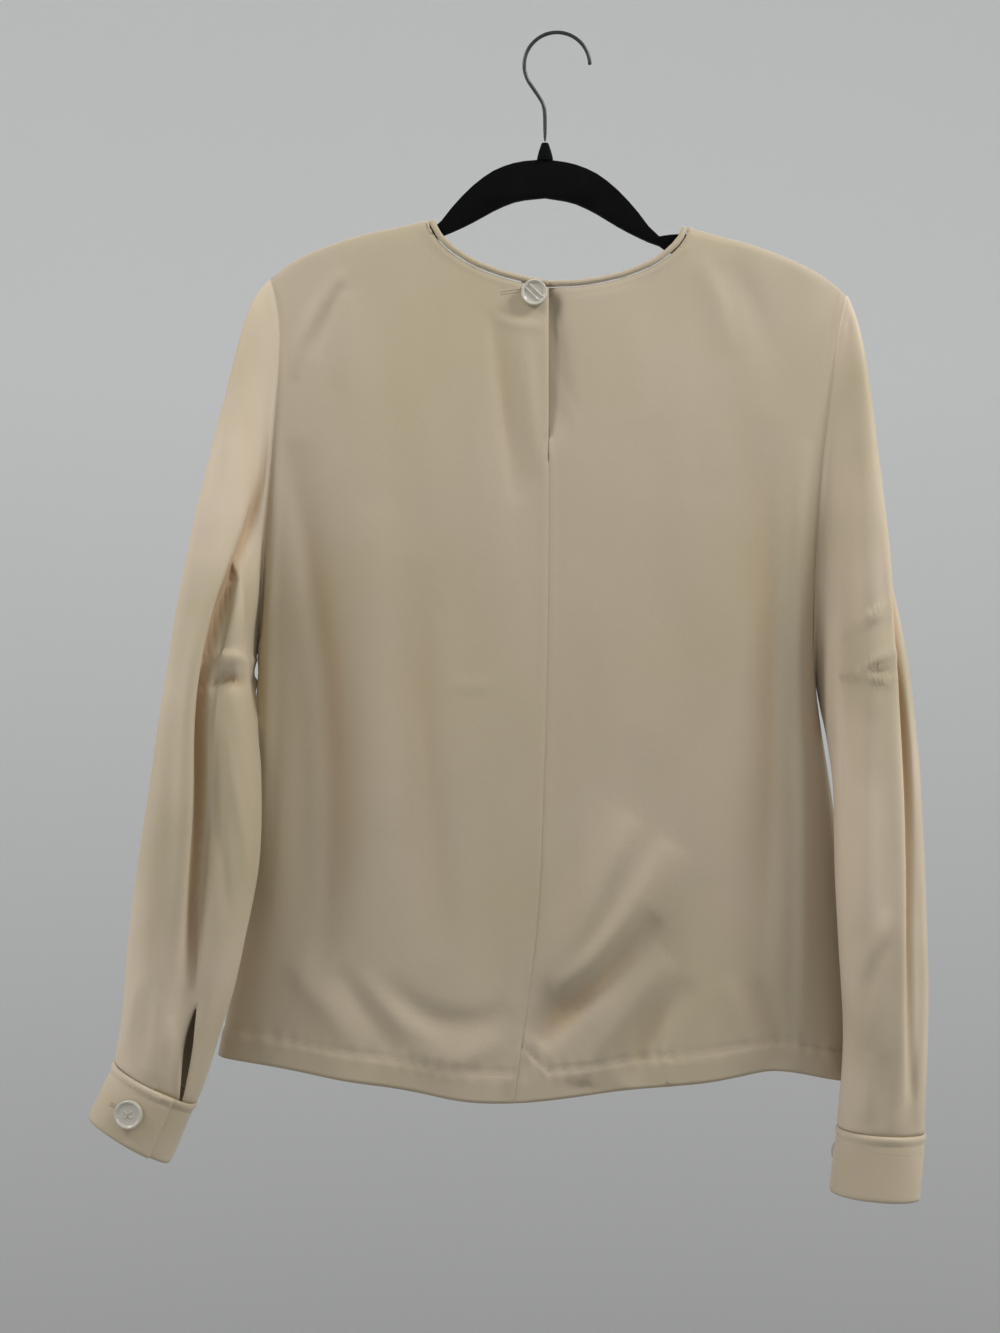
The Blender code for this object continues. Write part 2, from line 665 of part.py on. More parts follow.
def cuff_place(side):
    """A band round the wrist whose first CUFF_LAP lies under its own end."""
    last = SLEEVES[side][-1]
    rows = [last, CUFF_END[side]]
    start = CUFF_START[side]
    turn = 2 * math.pi + CUFF_LAP
    top_gap = 2 * GAP / CUFF_LENGTH

    def place(u, v):
        angle = start + u * turn
        along = mix(1.0 + top_gap, 2.0, v)
        point = ring_point(rows, along, angle)
        middle = ring_point(rows, along, math.pi / 2).lerp(ring_point(rows, along, -math.pi / 2), 0.5)
        under = 1.0 - smooth(CUFF_LAP + CUFF_LAP_EASE[0], CUFF_LAP + CUFF_LAP_EASE[1], u * turn)
        inward = (middle - point).normalized()
        return point + inward * CUFF_LAP_DEPTH * under

    return place


def build_cuff(side, mat):
    columns = [n / CUFF_COLUMNS for n in range(CUFF_COLUMNS + 1)]
    rows = [0.0, 0.33, 0.67, 1.0]
    cloth(f"cuff_{side}", columns, rows, cuff_place(side), CUFF_WALL, mat, flip=side == "left")


# ---- binding and buttons ------------------------------------------------------------------------
def binding_point(angle, face, under=0.0):
    x, z = neck_edge(angle, face, inset=BINDING_RADIUS + BINDING_GAP)
    skin = body_y(face, x, z)
    return Vector((x, skin - FACE_SIGN[face] * CLOTH / 2 + under, z))


def build_binding(mat):
    """One tube from the left back's slit edge round the neck to the right back's lapped end."""
    first = math.asin((centre_back(0.0) - NECK_X) / NECK_HALF)
    last = math.asin((-LAP_WIDTH - NECK_X) / NECK_HALF)
    half = NECK_ANGLES + [BINDING_OVER_HANGER]
    points = [binding_point(-a, "back") for a in [-first] + half]
    points += [binding_point(-a, "front") for a in reversed(half)]
    points += [binding_point(a, "front") for a in [0.0] + half]
    for angle in half[::-1] + LAP_ANGLES[::-1] + [last]:
        flat = binding_point(angle, "back")
        step = 1.0 - smooth(*LAP_STEP, flat.x - lap_crease(flat.z))
        points.append(flat + Vector((0.0, LAP_DEPTH * step, 0.0)))
    tube("neck_binding", points, BINDING_RADIUS, 2, mat)


def button_profile(radius, shank_length):
    """From the end of the thread shank to the middle of the button's hollow face."""
    thick = radius * 0.34
    shank = radius * 0.20
    return [
        (0.0, 0.0), (shank, 0.0), (shank, shank_length), (radius * 0.82, shank_length),
        (radius * 0.96, shank_length + thick * 0.30), (radius, shank_length + thick * 0.55),
        (radius * 0.94, shank_length + thick * 0.92), (radius * 0.82, shank_length + thick),
        (radius * 0.66, shank_length + thick * 0.80), (0.0, shank_length + thick * 0.74),
    ]


def build_button(name, radius, shank_length, seat, outward, mat):
    button = turned(name, button_profile(radius, shank_length), 28, mat)
    button.rotation_mode = "QUATERNION"
    button.rotation_quaternion = outward.to_track_quat("Z", "Y")
    button.location = seat + outward * 2 * GAP
    return button


def cuff_seat(side, u, v):
    """A point on a cuff's outer surface and the way out from it."""
    place = cuff_place(side)
    point = place(u, v)
    round_it = place(u + 0.01, v) - place(u - 0.01, v)
    down_it = place(u, v + 0.1) - place(u, v - 0.1)
    outward = round_it.cross(down_it).normalized()
    last = SLEEVES[side][-1]
    if outward.y * (point.y + last.mid) < 0:
        outward.negate()
    return point, outward


def build_buttons(mat):
    x, z = NECK_BUTTON_PLACE
    seat = Vector((x, body_y("back", x, z), z))
    build_button("button_neck", NECK_BUTTON, BINDING_RADIUS + GAP, seat, Vector((0.0, -1.0, 0.0)), mat)
    for side in SIGN:
        seat, outward = cuff_seat(side, CUFF_BUTTON_SHARE, 0.50)
        build_button(f"button_cuff_{side}", CUFF_BUTTON, CUFF_SHANK, seat, outward, mat)


# ---- the hanger ---------------------------------------------------------------------------------
def hanger_outline():
    """Round the plate: along the top from left to right, round the end and back along the bottom."""
    def top(out, sign):
        x = HANGER_X + sign * out
        if out <= ARCH[-1].out:
            return x, -eased(ARCH, "out", "top", out) - TILT * x
        return x, shoulder_height(x) - HANGER_UNDER_CLOTH - HANGER_DIP * (1 - smooth(0.08, 0.11, out))

    def low(out, sign):
        x = HANGER_X + sign * out
        arch_low = -eased(ARCH, "out", "low", min(out, ARCH[-1].out)) - TILT * x
        if out <= ARCH[-1].out:
            return x, arch_low
        return x, min(top(out, sign)[1] - ARM_HEIGHT * mix(0.75, 1.0, smooth(0.08, 0.12, out)), 0.0)

    reach = HANGER_REACH - ARM_HEIGHT / 2
    outs = [reach * n / HANGER_STEPS for n in range(1, HANGER_STEPS + 1)]
    right_top = [top(out, 1) for out in outs]
    left_top = [top(out, -1) for out in reversed(outs)]
    right_low = [low(out, 1) for out in reversed(outs)]
    left_low = [low(out, -1) for out in outs]

    def end(sign):
        upper, lower = Vector(top(reach, sign)), Vector(low(reach, sign))
        middle, radius = (upper + lower) / 2, (upper - lower).length / 2
        angles = [math.radians(90 - 180 * n / 8) for n in range(1, 8)]
        arc = [(middle.x + sign * radius * math.cos(a), middle.y + radius * math.sin(a)) for a in angles]
        return arc if sign > 0 else arc[::-1]

    return left_top + [top(0, 1)] + right_top + end(1) + right_low + [low(0, 1)] + left_low + end(-1)


def build_hanger(velvet, metal):
    outline = hanger_outline()
    curve = bpy.data.curves.new("hanger_body", "CURVE")
    curve.dimensions = "2D"
    curve.fill_mode = "BOTH"
    curve.extrude = HANGER_THICK / 2
    curve.resolution_u = 1
    line = curve.splines.new("POLY")
    line.points.add(len(outline) - 1)
    for point, (x, z) in zip(line.points, outline):
        point.co = (x, z, 0.0, 1.0)
    line.use_cyclic_u = True
    plate = add_object("hanger_body", curve, velvet)
    plate.rotation_euler = (math.pi / 2, 0.0, 0.0)

    height = COLLAR_TOP - COLLAR_BOTTOM
    profile = [(0.0, 0.0), (0.0058, 0.0), (0.0054, height * 0.18), (0.0044, height * 0.52),
               (0.0030, height * 0.86), (0.0024, height), (0.0, height)]
    collar = turned("hanger_collar", profile, 20, velvet)
    collar.location = (HANGER_X, 0.0, COLLAR_BOTTOM)

    centre_z = -math.sqrt((HOOK_RADIUS - WIRE_RADIUS) ** 2 - HOOK_X ** 2)
    points = []
    for n in range(HOOK_STEPS + 1):
        angle = math.radians(HOOK_END_ANGLE * n / HOOK_STEPS)
        points.append((HOOK_X + HOOK_RADIUS * math.cos(angle), 0.0, centre_z + HOOK_RADIUS * math.sin(angle)))
    neck_bend = [(-0.0078, 0.0, -0.0440), (-0.0058, 0.0, -0.0475), (-0.0047, 0.0, -0.0515)]
    points += neck_bend + [(HANGER_X, 0.0, -0.0560), (HANGER_X, 0.0, COLLAR_TOP + GAP)]
    tube("hanger_hook", points, WIRE_RADIUS, 2, metal)


# ---- build --------------------------------------------------------------------------------------
for old in list(bpy.data.objects):
    bpy.data.objects.remove(old, do_unlink=True)

PARTS = bpy.data.collections.new("silk_blouse_on_a_hanger")
bpy.context.scene.collection.children.link(PARTS)

silk = material("cream_silk", (0.72, 0.60, 0.45), 0.55)
pearl = material("pale_pearl", (0.70, 0.66, 0.58), 0.25)
velvet = material("black_velvet", (0.012, 0.012, 0.013), 0.95)
metal = material("black_wire", (0.02, 0.02, 0.02), 0.30, 0.6)

build_front(silk)
build_backs(silk)
for side in SIGN:
    build_sleeve(side, silk)
    build_cuff(side, silk)
build_binding(silk)
build_buttons(pearl)
build_hanger(velvet, metal)
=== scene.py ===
# %% [markdown]
# # A silk blouse on a hanger
#
# The CAD frame holds every piece at its real size. This script gives them their looks: each cloth
# panel becomes a thin, finely divided shell with its creases, hem and seams, the buttons become
# grooved pearl, the hanger becomes velvet, and a plain studio is set round them.
#
# The blouse's back faces -Y, +Z is up, and the origin is where the hook rests on its nail.

# %% Load the frame
import json
import math
from collections import namedtuple

import bmesh
import bpy
import numpy as np
from mathutils import Matrix, Vector, noise
from mathutils.bvhtree import BVHTree
from mathutils.kdtree import KDTree

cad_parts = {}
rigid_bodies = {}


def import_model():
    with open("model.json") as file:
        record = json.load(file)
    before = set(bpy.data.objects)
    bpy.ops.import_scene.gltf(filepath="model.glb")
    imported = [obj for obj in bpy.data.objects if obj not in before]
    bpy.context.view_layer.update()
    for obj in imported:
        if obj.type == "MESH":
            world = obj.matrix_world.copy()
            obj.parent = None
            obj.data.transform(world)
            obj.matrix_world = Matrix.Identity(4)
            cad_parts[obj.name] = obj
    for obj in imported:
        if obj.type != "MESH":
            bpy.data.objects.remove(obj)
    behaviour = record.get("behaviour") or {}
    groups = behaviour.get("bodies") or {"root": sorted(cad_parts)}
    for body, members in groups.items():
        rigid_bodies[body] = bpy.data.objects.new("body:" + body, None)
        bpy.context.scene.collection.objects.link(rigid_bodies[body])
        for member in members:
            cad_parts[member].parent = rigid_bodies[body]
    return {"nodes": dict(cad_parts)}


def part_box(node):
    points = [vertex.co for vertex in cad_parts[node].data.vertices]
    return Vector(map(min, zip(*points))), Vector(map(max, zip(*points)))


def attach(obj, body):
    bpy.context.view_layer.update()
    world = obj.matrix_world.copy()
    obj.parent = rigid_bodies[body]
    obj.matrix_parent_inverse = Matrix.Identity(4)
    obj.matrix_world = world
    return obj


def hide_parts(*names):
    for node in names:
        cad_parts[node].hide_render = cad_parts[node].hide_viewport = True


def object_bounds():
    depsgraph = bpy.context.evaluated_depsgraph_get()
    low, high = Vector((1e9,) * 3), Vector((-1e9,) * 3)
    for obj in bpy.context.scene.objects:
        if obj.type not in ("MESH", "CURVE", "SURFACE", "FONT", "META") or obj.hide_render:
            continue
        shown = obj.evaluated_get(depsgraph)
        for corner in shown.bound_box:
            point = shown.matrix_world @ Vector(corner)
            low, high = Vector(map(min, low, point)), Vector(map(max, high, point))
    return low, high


for leftover in list(bpy.data.objects):
    bpy.data.objects.remove(leftover)
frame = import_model()
CAD_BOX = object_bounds()
NODES = frame["nodes"]
for node in NODES.values():
    node.select_set(False)
print("frame", [round(side, 4) for side in CAD_BOX[1] - CAD_BOX[0]], sorted(NODES))

# %% [markdown]
# ## Sizes
#
# Silk crepe is about 0.3 mm thick, and a blouse's panel with its turned edges about twice that, so
# the shells are thinner than the walls that stand for them in the frame.

# %% Sizes
MM = 0.001
WALL = 1.2 * MM            # the CAD cloth's wall
CUFF_WALL = 2.0 * MM
SHELL = 0.7 * MM           # the shell shown in place of a panel's wall
CUFF_SHELL = 1.6 * MM      # a cuff is several layers of cloth
HEM_HEIGHT = 19.5 * MM     # from the hem's edge up to its stitches
STITCH_LENGTH = 1.9 * MM
STITCH_GAP = 1.0 * MM
THREAD = 0.16 * MM         # half the thread's thickness

# %% [markdown]
# ## The camera
#
# The camera stands 1.5 m from the blouse, straight behind its back, and a little left of the hook.
# The lens is worked out from the width and height that it has to take in there.

# %% Camera
VIEW_CENTRE = Vector((-0.0357, 0.0, -0.442))
VIEW_HEIGHT = 0.933
VIEW_DISTANCE = 1.5

camera_data = bpy.data.cameras.new("camera")
camera_data.sensor_width = 36.0
camera_data.lens = camera_data.sensor_width * VIEW_DISTANCE / VIEW_HEIGHT
camera = bpy.data.objects.new("camera", camera_data)
camera.location = VIEW_CENTRE - Vector((0.0, VIEW_DISTANCE, 0.0))
camera.rotation_euler = (math.radians(90.0), 0.0, 0.0)
bpy.context.scene.collection.objects.link(camera)
bpy.context.scene.camera = camera
print("lens", round(camera_data.lens, 2), "mm")


# %% [markdown]
# ## Small tools
#
# Cloth is shaped here with arrays: every point of a shell is moved along its own normal by the sum
# of a few soft ridges and troughs, so the helpers read and write all of a mesh's points at once.

# %% Easing tools
def smooth(low, high, value):
    """0 below low, 1 above high, with an even ease between. Works on arrays too."""
    t = np.clip((value - low) / (high - low), 0.0, 1.0)
    return t * t * (3 - 2 * t)


def bump(across, width):
    return np.exp(-((across / width) ** 2))


# %% Mesh tools
def points_of(obj):
    flat = np.empty(len(obj.data.vertices) * 3)
    obj.data.vertices.foreach_get("co", flat)
    return flat.reshape(-1, 3)


def normals_of(obj):
    flat = np.empty(len(obj.data.vertices) * 3)
    obj.data.vertices.foreach_get("normal", flat)
    return flat.reshape(-1, 3)


def move_points(obj, points):
    obj.data.vertices.foreach_set("co", np.ascontiguousarray(points).ravel())
    obj.data.update()


def activate(obj):
    for other in bpy.context.selected_objects:
        other.select_set(False)
    obj.select_set(True)
    bpy.context.view_layer.objects.active = obj


def apply_modifier(obj, kind, **settings):
    activate(obj)
    modifier = obj.modifiers.new(kind.lower(), kind)
    for name, value in settings.items():
        setattr(modifier, name, value)
    bpy.ops.object.modifier_apply(modifier=modifier.name)


def divide(obj, levels):
    """Catmull-Clark subdivision that keeps an open sheet's corners."""
    apply_modifier(obj, "SUBSURF", levels=levels, render_levels=levels, boundary_smooth="PRESERVE_CORNERS")


def new_object(name, mesh):
    obj = bpy.data.objects.new(name, mesh)
    bpy.context.scene.collection.objects.link(obj)
    return obj


def object_from(bm, name):
    mesh = bpy.data.meshes.new(name)
    bm.to_mesh(mesh)
    bm.free()
    return new_object(name, mesh)


def merged_copy(node):
    """A bmesh copy of a CAD node with its doubled points merged."""
    bm = bmesh.new()
    bm.from_mesh(NODES[node].data)
    bmesh.ops.remove_doubles(bm, verts=bm.verts, dist=0.02 * MM)
    bm.normal_update()
    return bm


def to_quads(bm):
    bmesh.ops.join_triangles(
        bm, faces=bm.faces, angle_face_threshold=3.1, angle_shape_threshold=3.1, topology_influence=1.6
    )


def smooth_shade(obj):
    activate(obj)
    bpy.ops.object.shade_smooth()


# %% [markdown]
# ## From a wall to a shell
#
# In the frame each panel is a closed wall: an outer side, an inner side and a rim. Only the outer
# side is wanted here, so a ray from each face says whether the other side is one wall away. The
# faces that pass are gathered into two islands, cut apart where the wall turns its corner, and the
# island that faces the right way is kept, made into quads and divided finely.

# %% Find the outer side of a wall
CORNER = math.radians(50)


def islands_of(bm, rim):
    islands, seen = [], set(rim)
    for face in bm.faces:
        if face in seen:
            continue
        island, stack = set(), [face]
        seen.add(face)
        while stack:
            here = stack.pop()
            island.add(here)
            for edge in here.edges:
                if edge.calc_face_angle_signed(0.0) > CORNER:
                    continue
                fresh = [other for other in edge.link_faces if other not in seen]
                seen.update(fresh)
                stack.extend(fresh)
        islands.append(island)
    islands.sort(key=lambda island: -sum(face.calc_area() for face in island))
    return islands


def take_in_strays(keep, other):
    """Adds the small faces that lie flat against the kept side and were taken for rim."""
    grown = True
    while grown:
        grown = False
        for face in list(keep):
            for edge in face.edges:
                if abs(edge.calc_face_angle(0.0)) > CORNER:
                    continue
                for near in edge.link_faces:
                    if near not in keep and near not in other:
                        keep.add(near)
                        grown = True


def outer_side(node, way, wall):
    bm = merged_copy(node)
    tree = BVHTree.FromBMesh(bm)
    rim = set()
    for face in bm.faces:
        start = face.calc_center_median() - face.normal * 0.05 * MM
        distance = tree.ray_cast(start, -face.normal)[3]
        if distance is None or distance > 1.45 * wall:
            rim.add(face)
    pair = islands_of(bm, rim)[:2]
    if way is None:
        keep = pair[0]
    else:
        keep = max(pair, key=lambda side: sum(f.normal.dot(Vector(way)) * f.calc_area() for f in side))
    other = pair[1] if keep is pair[0] else pair[0]
    take_in_strays(keep, other)
    bmesh.ops.delete(bm, geom=[face for face in bm.faces if face not in keep], context="FACES")
    to_quads(bm)
    return bm


# %% Make the shells
Panel = namedtuple("Panel", "node way wall levels")
PANELS = [
    Panel("back_left", (0, -1, 0), WALL, 3),
    Panel("back_right", (0, -1, 0), WALL, 3),
    Panel("front", (0, 1, 0), WALL, 2),
    Panel("sleeve_left", None, WALL, 3),
    Panel("sleeve_right", None, WALL, 3),
    Panel("cuff_left", None, CUFF_WALL, 3),
    Panel("cuff_right", None, CUFF_WALL, 3),
]
panels = {}
for row in PANELS:
    side = outer_side(row.node, row.way, row.wall)
    start_faces, holes = len(side.faces), sum(edge.is_boundary for edge in side.edges)
    panel = object_from(side, f"{row.node}_cloth")
    divide(panel, row.levels)
    panels[row.node] = panel
    print(row.node, start_faces, "faces,", holes, "rim edges, then", len(panel.data.polygons))

# %% [markdown]
# ## Edges and seams
#
# A seam is where one panel's edge lies beside another's. Points near a seam must stay where they
# are, or the blouse would gape, while a hem or a slit's edge is free. So each panel's rim is sorted
# by what lies beside it, and distances to it are kept for the steps that follow.

# %% Rims
SEAM_REACH = 2.2 * MM
SEAM_EASE = 4.0 * MM       # a rim that is drawn to its seam takes the cloth within this distance along
HOLD = 10.0 * MM           # folds fade away over this distance from a seam


def rim_points(obj):
    bm = bmesh.new()
    bm.from_mesh(obj.data)
    points = np.array([vert.co[:] for vert in bm.verts if vert.is_boundary])
    bm.free()
    return points


def tree_of(obj):
    faces = [face.vertices[:] for face in obj.data.polygons]
    return BVHTree.FromPolygons([vert.co for vert in obj.data.vertices], faces)


def distance_to(points, targets):
    """How far each point is from the nearest of the targets."""
    tree = KDTree(len(targets))
    for index, target in enumerate(targets):
        tree.insert(target, index)
    tree.balance()
    return np.array([tree.find(point)[2] for point in points])


def beside(rim, neighbours, reach=SEAM_REACH):
    """Which rim points lie beside one of the neighbouring shells."""
    near = np.zeros(len(rim), dtype=bool)
    for neighbour in neighbours:
        tree = trees[neighbour]
        near |= np.array([tree.find_nearest(Vector(point), reach)[0] is not None for point in rim])
    return near


trees = {name: tree_of(panel) for name, panel in panels.items()}
binding_copy = merged_copy("neck_binding")
trees["binding"] = BVHTree.FromBMesh(binding_copy)
binding_copy.free()
rims = {name: rim_points(panel) for name, panel in panels.items()}
held = {}
for name, neighbours in [
    ("back_left", ["front", "sleeve_left", "binding"]),
    ("back_right", ["front", "sleeve_right", "binding"]),
    ("front", ["back_left", "back_right", "sleeve_left", "sleeve_right", "binding"]),
    ("sleeve_left", ["back_left", "front", "cuff_left"]),
    ("sleeve_right", ["back_right", "front", "cuff_right"]),
    ("cuff_left", ["sleeve_left"]),
    ("cuff_right", ["sleeve_right"]),
]:
    held[name] = beside(rims[name], neighbours)
    print(name, len(rims[name]), "rim points,", int(held[name].sum()), "at a seam")

# %% [markdown]
# ## Creases
#
# A crease is a soft ridge (height above 0) or trough (below 0) along a smooth curve through a few
# (x, z) places, seen from behind. Its width is how quickly it falls away, and its lean makes one
# flank steeper than the other, as real folds are. Heights and widths are in millimetres.

# %% Crease tools
Crease = namedtuple("Crease", "height width lean path")
CURVE_STEPS = 36


def curve_through(path):
    """A smooth curve near the path's points, as CURVE_STEPS + 1 points."""
    places = np.linspace(0.0, 1.0, len(path))
    steps = np.linspace(0.0, 1.0, CURVE_STEPS + 1)
    degree = min(len(path) - 1, 5)
    return np.stack([np.polyval(np.polyfit(places, axis, degree), steps) for axis in zip(*path)], axis=1)


def across_and_along(flat, path):
    """Each point's distance to the side of the curve (right is above 0), and its share along it."""
    curve = curve_through(path)
    best = np.full(len(flat), np.inf)
    side = np.zeros(len(flat))
    share = np.zeros(len(flat))
    for step, (start, end) in enumerate(zip(curve[:-1], curve[1:])):
        line = end - start
        offset = flat - start
        t = np.clip(offset @ line / (line @ line), 0.0, 1.0)
        gap = np.hypot(*(offset - t[:, None] * line).T)
        nearer = gap < best
        turn = line[1] * offset[:, 0] - line[0] * offset[:, 1]
        best = np.where(nearer, gap, best)
        side = np.where(nearer, np.sign(turn), side)
        share = np.where(nearer, (step + t) / CURVE_STEPS, share)
    return best * side, share


def creased(flat, creases):
    """The height that a table of creases gives each (x, z) place."""
    total = np.zeros(len(flat))
    for crease in creases:
        across, along = across_and_along(flat, crease.path)
        width = crease.width * MM * (1.0 + crease.lean * np.sign(across))
        total += crease.height * MM * bump(across, width) * np.sin(np.pi * along) ** 0.7
    return total


def waves(points, height, wide, tall, seed):
    """Slow, uneven swells, wide across and tall down the cloth."""
    scaled = points / np.array([wide, wide, tall]) + seed
    return height * np.array([noise.noise(point) for point in scaled])


# %% The back's creases
BACK_CREASES = [
    Crease(2.4, 5.0, 0.3, [(-0.143, -0.166), (-0.159, -0.190), (-0.172, -0.216), (-0.177, -0.244)]),
    Crease(-2.0, 5.0, 0.2, [(-0.146, -0.175), (-0.156, -0.200), (-0.164, -0.229)]),
    Crease(1.1, 8.0, 0.2, [(-0.139, -0.182), (-0.141, -0.210), (-0.146, -0.250)]),
    Crease(3.4, 8.0, 0.3, [(-0.193, -0.258), (-0.194, -0.342), (-0.197, -0.424),
                           (-0.198, -0.506), (-0.204, -0.600)]),
    Crease(-4.6, 13.0, -0.3, [(-0.180, -0.286), (-0.169, -0.348), (-0.159, -0.410), (-0.152, -0.478),
                              (-0.151, -0.573), (-0.160, -0.668)]),
    Crease(-3.4, 7.0, -0.3, [(-0.041, -0.195), (-0.033, -0.258), (-0.024, -0.330)]),
    Crease(2.0, 7.0, 0.2, [(-0.021, -0.204), (-0.016, -0.251), (-0.010, -0.310)]),
    Crease(1.0, 4.0, 0.0, [(-0.040, -0.199), (-0.022, -0.205), (-0.004, -0.207)]),
    Crease(-0.7, 3.0, 0.0, [(-0.040, -0.194), (-0.024, -0.199), (-0.006, -0.200)]),
    Crease(0.8, 3.2, 0.3, [(-0.074, -0.452), (-0.056, -0.4545), (-0.038, -0.453)]),
    Crease(5.0, 12.0, 0.3, [(0.056, -0.545), (0.032, -0.590), (0.014, -0.631), (0.002, -0.664)]),
    Crease(7.5, 13.0, -0.45, [(0.078, -0.560), (0.052, -0.606), (0.026, -0.641), (0.000, -0.662)]),
    Crease(-9.0, 11.0, 0.3, [(0.072, -0.612), (0.040, -0.650), (0.012, -0.678), (-0.008, -0.700)]),
    Crease(5.0, 11.0, 0.2, [(0.080, -0.640), (0.052, -0.672), (0.028, -0.705), (0.018, -0.725)]),
    Crease(-3.4, 8.0, 0.0, [(0.094, -0.655), (0.068, -0.690), (0.052, -0.726)]),
    Crease(2.6, 12.0, -0.3, [(-0.182, -0.640), (-0.153, -0.676), (-0.126, -0.706)]),
    Crease(-2.8, 8.0, 0.2, [(-0.150, -0.650), (-0.126, -0.674), (-0.104, -0.706)]),
    Crease(2.6, 9.0, 0.3, [(-0.134, -0.652), (-0.104, -0.680), (-0.070, -0.704)]),
    Crease(-3.2, 9.0, 0.2, [(-0.114, -0.656), (-0.072, -0.682), (-0.028, -0.674)]),
    Crease(2.2, 8.0, 0.0, [(-0.100, -0.700), (-0.066, -0.708), (-0.034, -0.692)]),
    Crease(-2.4, 18.0, 0.4, [(-0.087, -0.369), (-0.091, -0.465), (-0.083, -0.553), (-0.077, -0.640)]),
    Crease(2.2, 18.0, 0.2, [(-0.118, -0.330), (-0.120, -0.430), (-0.112, -0.560)]),
    Crease(1.6, 24.0, -0.2, [(0.104, -0.322), (0.110, -0.451), (0.102, -0.590)]),
    Crease(-1.3, 22.0, 0.0, [(0.058, -0.272), (0.068, -0.369), (0.058, -0.480)]),
    Crease(3.6, 8.0, -0.3, [(0.175, -0.286), (0.170, -0.369), (0.171, -0.478),
                            (0.172, -0.600), (0.171, -0.702)]),
    Crease(-3.6, 12.0, 0.3, [(0.154, -0.272), (0.148, -0.369), (0.150, -0.465),
                             (0.146, -0.587), (0.139, -0.695)]),
    Crease(1.3, 8.0, 0.2, [(0.100, -0.158), (0.116, -0.187), (0.123, -0.226)]),
    Crease(-1.2, 9.0, 0.0, [(0.120, -0.160), (0.138, -0.186), (0.150, -0.230)]),
    Crease(2.2, 8.0, 0.0, [(0.118, -0.655), (0.131, -0.690), (0.134, -0.722)]),
    Crease(-2.6, 8.0, 0.0, [(0.140, -0.655), (0.152, -0.690), (0.158, -0.718)]),
    Crease(1.2, 6.0, 0.0, [(-0.020, -0.690), (-0.026, -0.712), (-0.030, -0.733)]),
    Crease(-1.2, 5.0, 0.0, [(-0.006, -0.690), (-0.016, -0.708), (-0.020, -0.724)]),
]
FRONT_CREASES = [
    Crease(1.5, 7.0, 0.2, [(-0.130, -0.168), (-0.150, -0.192), (-0.166, -0.224)]),
    Crease(1.4, 7.0, -0.2, [(0.124, -0.166), (0.150, -0.196), (0.164, -0.232)]),
    Crease(-2.4, 13.0, 0.2, [(-0.166, -0.270), (-0.152, -0.400), (-0.146, -0.560), (-0.158, -0.680)]),
    Crease(2.4, 14.0, -0.2, [(-0.104, -0.300), (-0.110, -0.440), (-0.096, -0.600), (-0.102, -0.700)]),
    Crease(-2.0, 18.0, 0.2, [(-0.046, -0.330), (-0.058, -0.470), (-0.050, -0.640)]),
    Crease(1.8, 16.0, 0.2, [(0.022, -0.300), (0.030, -0.450), (0.018, -0.640)]),
    Crease(-2.6, 14.0, -0.2, [(0.092, -0.340), (0.098, -0.480), (0.108, -0.700)]),
    Crease(2.6, 12.0, 0.3, [(0.146, -0.280), (0.142, -0.420), (0.150, -0.690)]),
    Crease(3.4, 14.0, 0.3, [(-0.020, -0.600), (-0.052, -0.650), (-0.084, -0.690)]),
    Crease(-2.8, 12.0, 0.0, [(0.004, -0.620), (-0.026, -0.668), (-0.052, -0.706)]),
    Crease(1.0, 3.0, 0.2, [(0.040, -0.470), (0.056, -0.466), (0.074, -0.470)]),
    Crease(1.6, 9.0, 0.0, [(-0.060, -0.220), (-0.020, -0.236), (0.030, -0.232), (0.070, -0.216)]),
]

# %% [markdown]
# ### The sleeves' creases
#
# The left sleeve hangs bent: its back layer folds over its under layer along a deep groove from the
# armhole to the wrist, with a curled fold at the elbow. The right sleeve hangs nearly straight, with
# a long fold down its outer side and three small creases at the elbow.

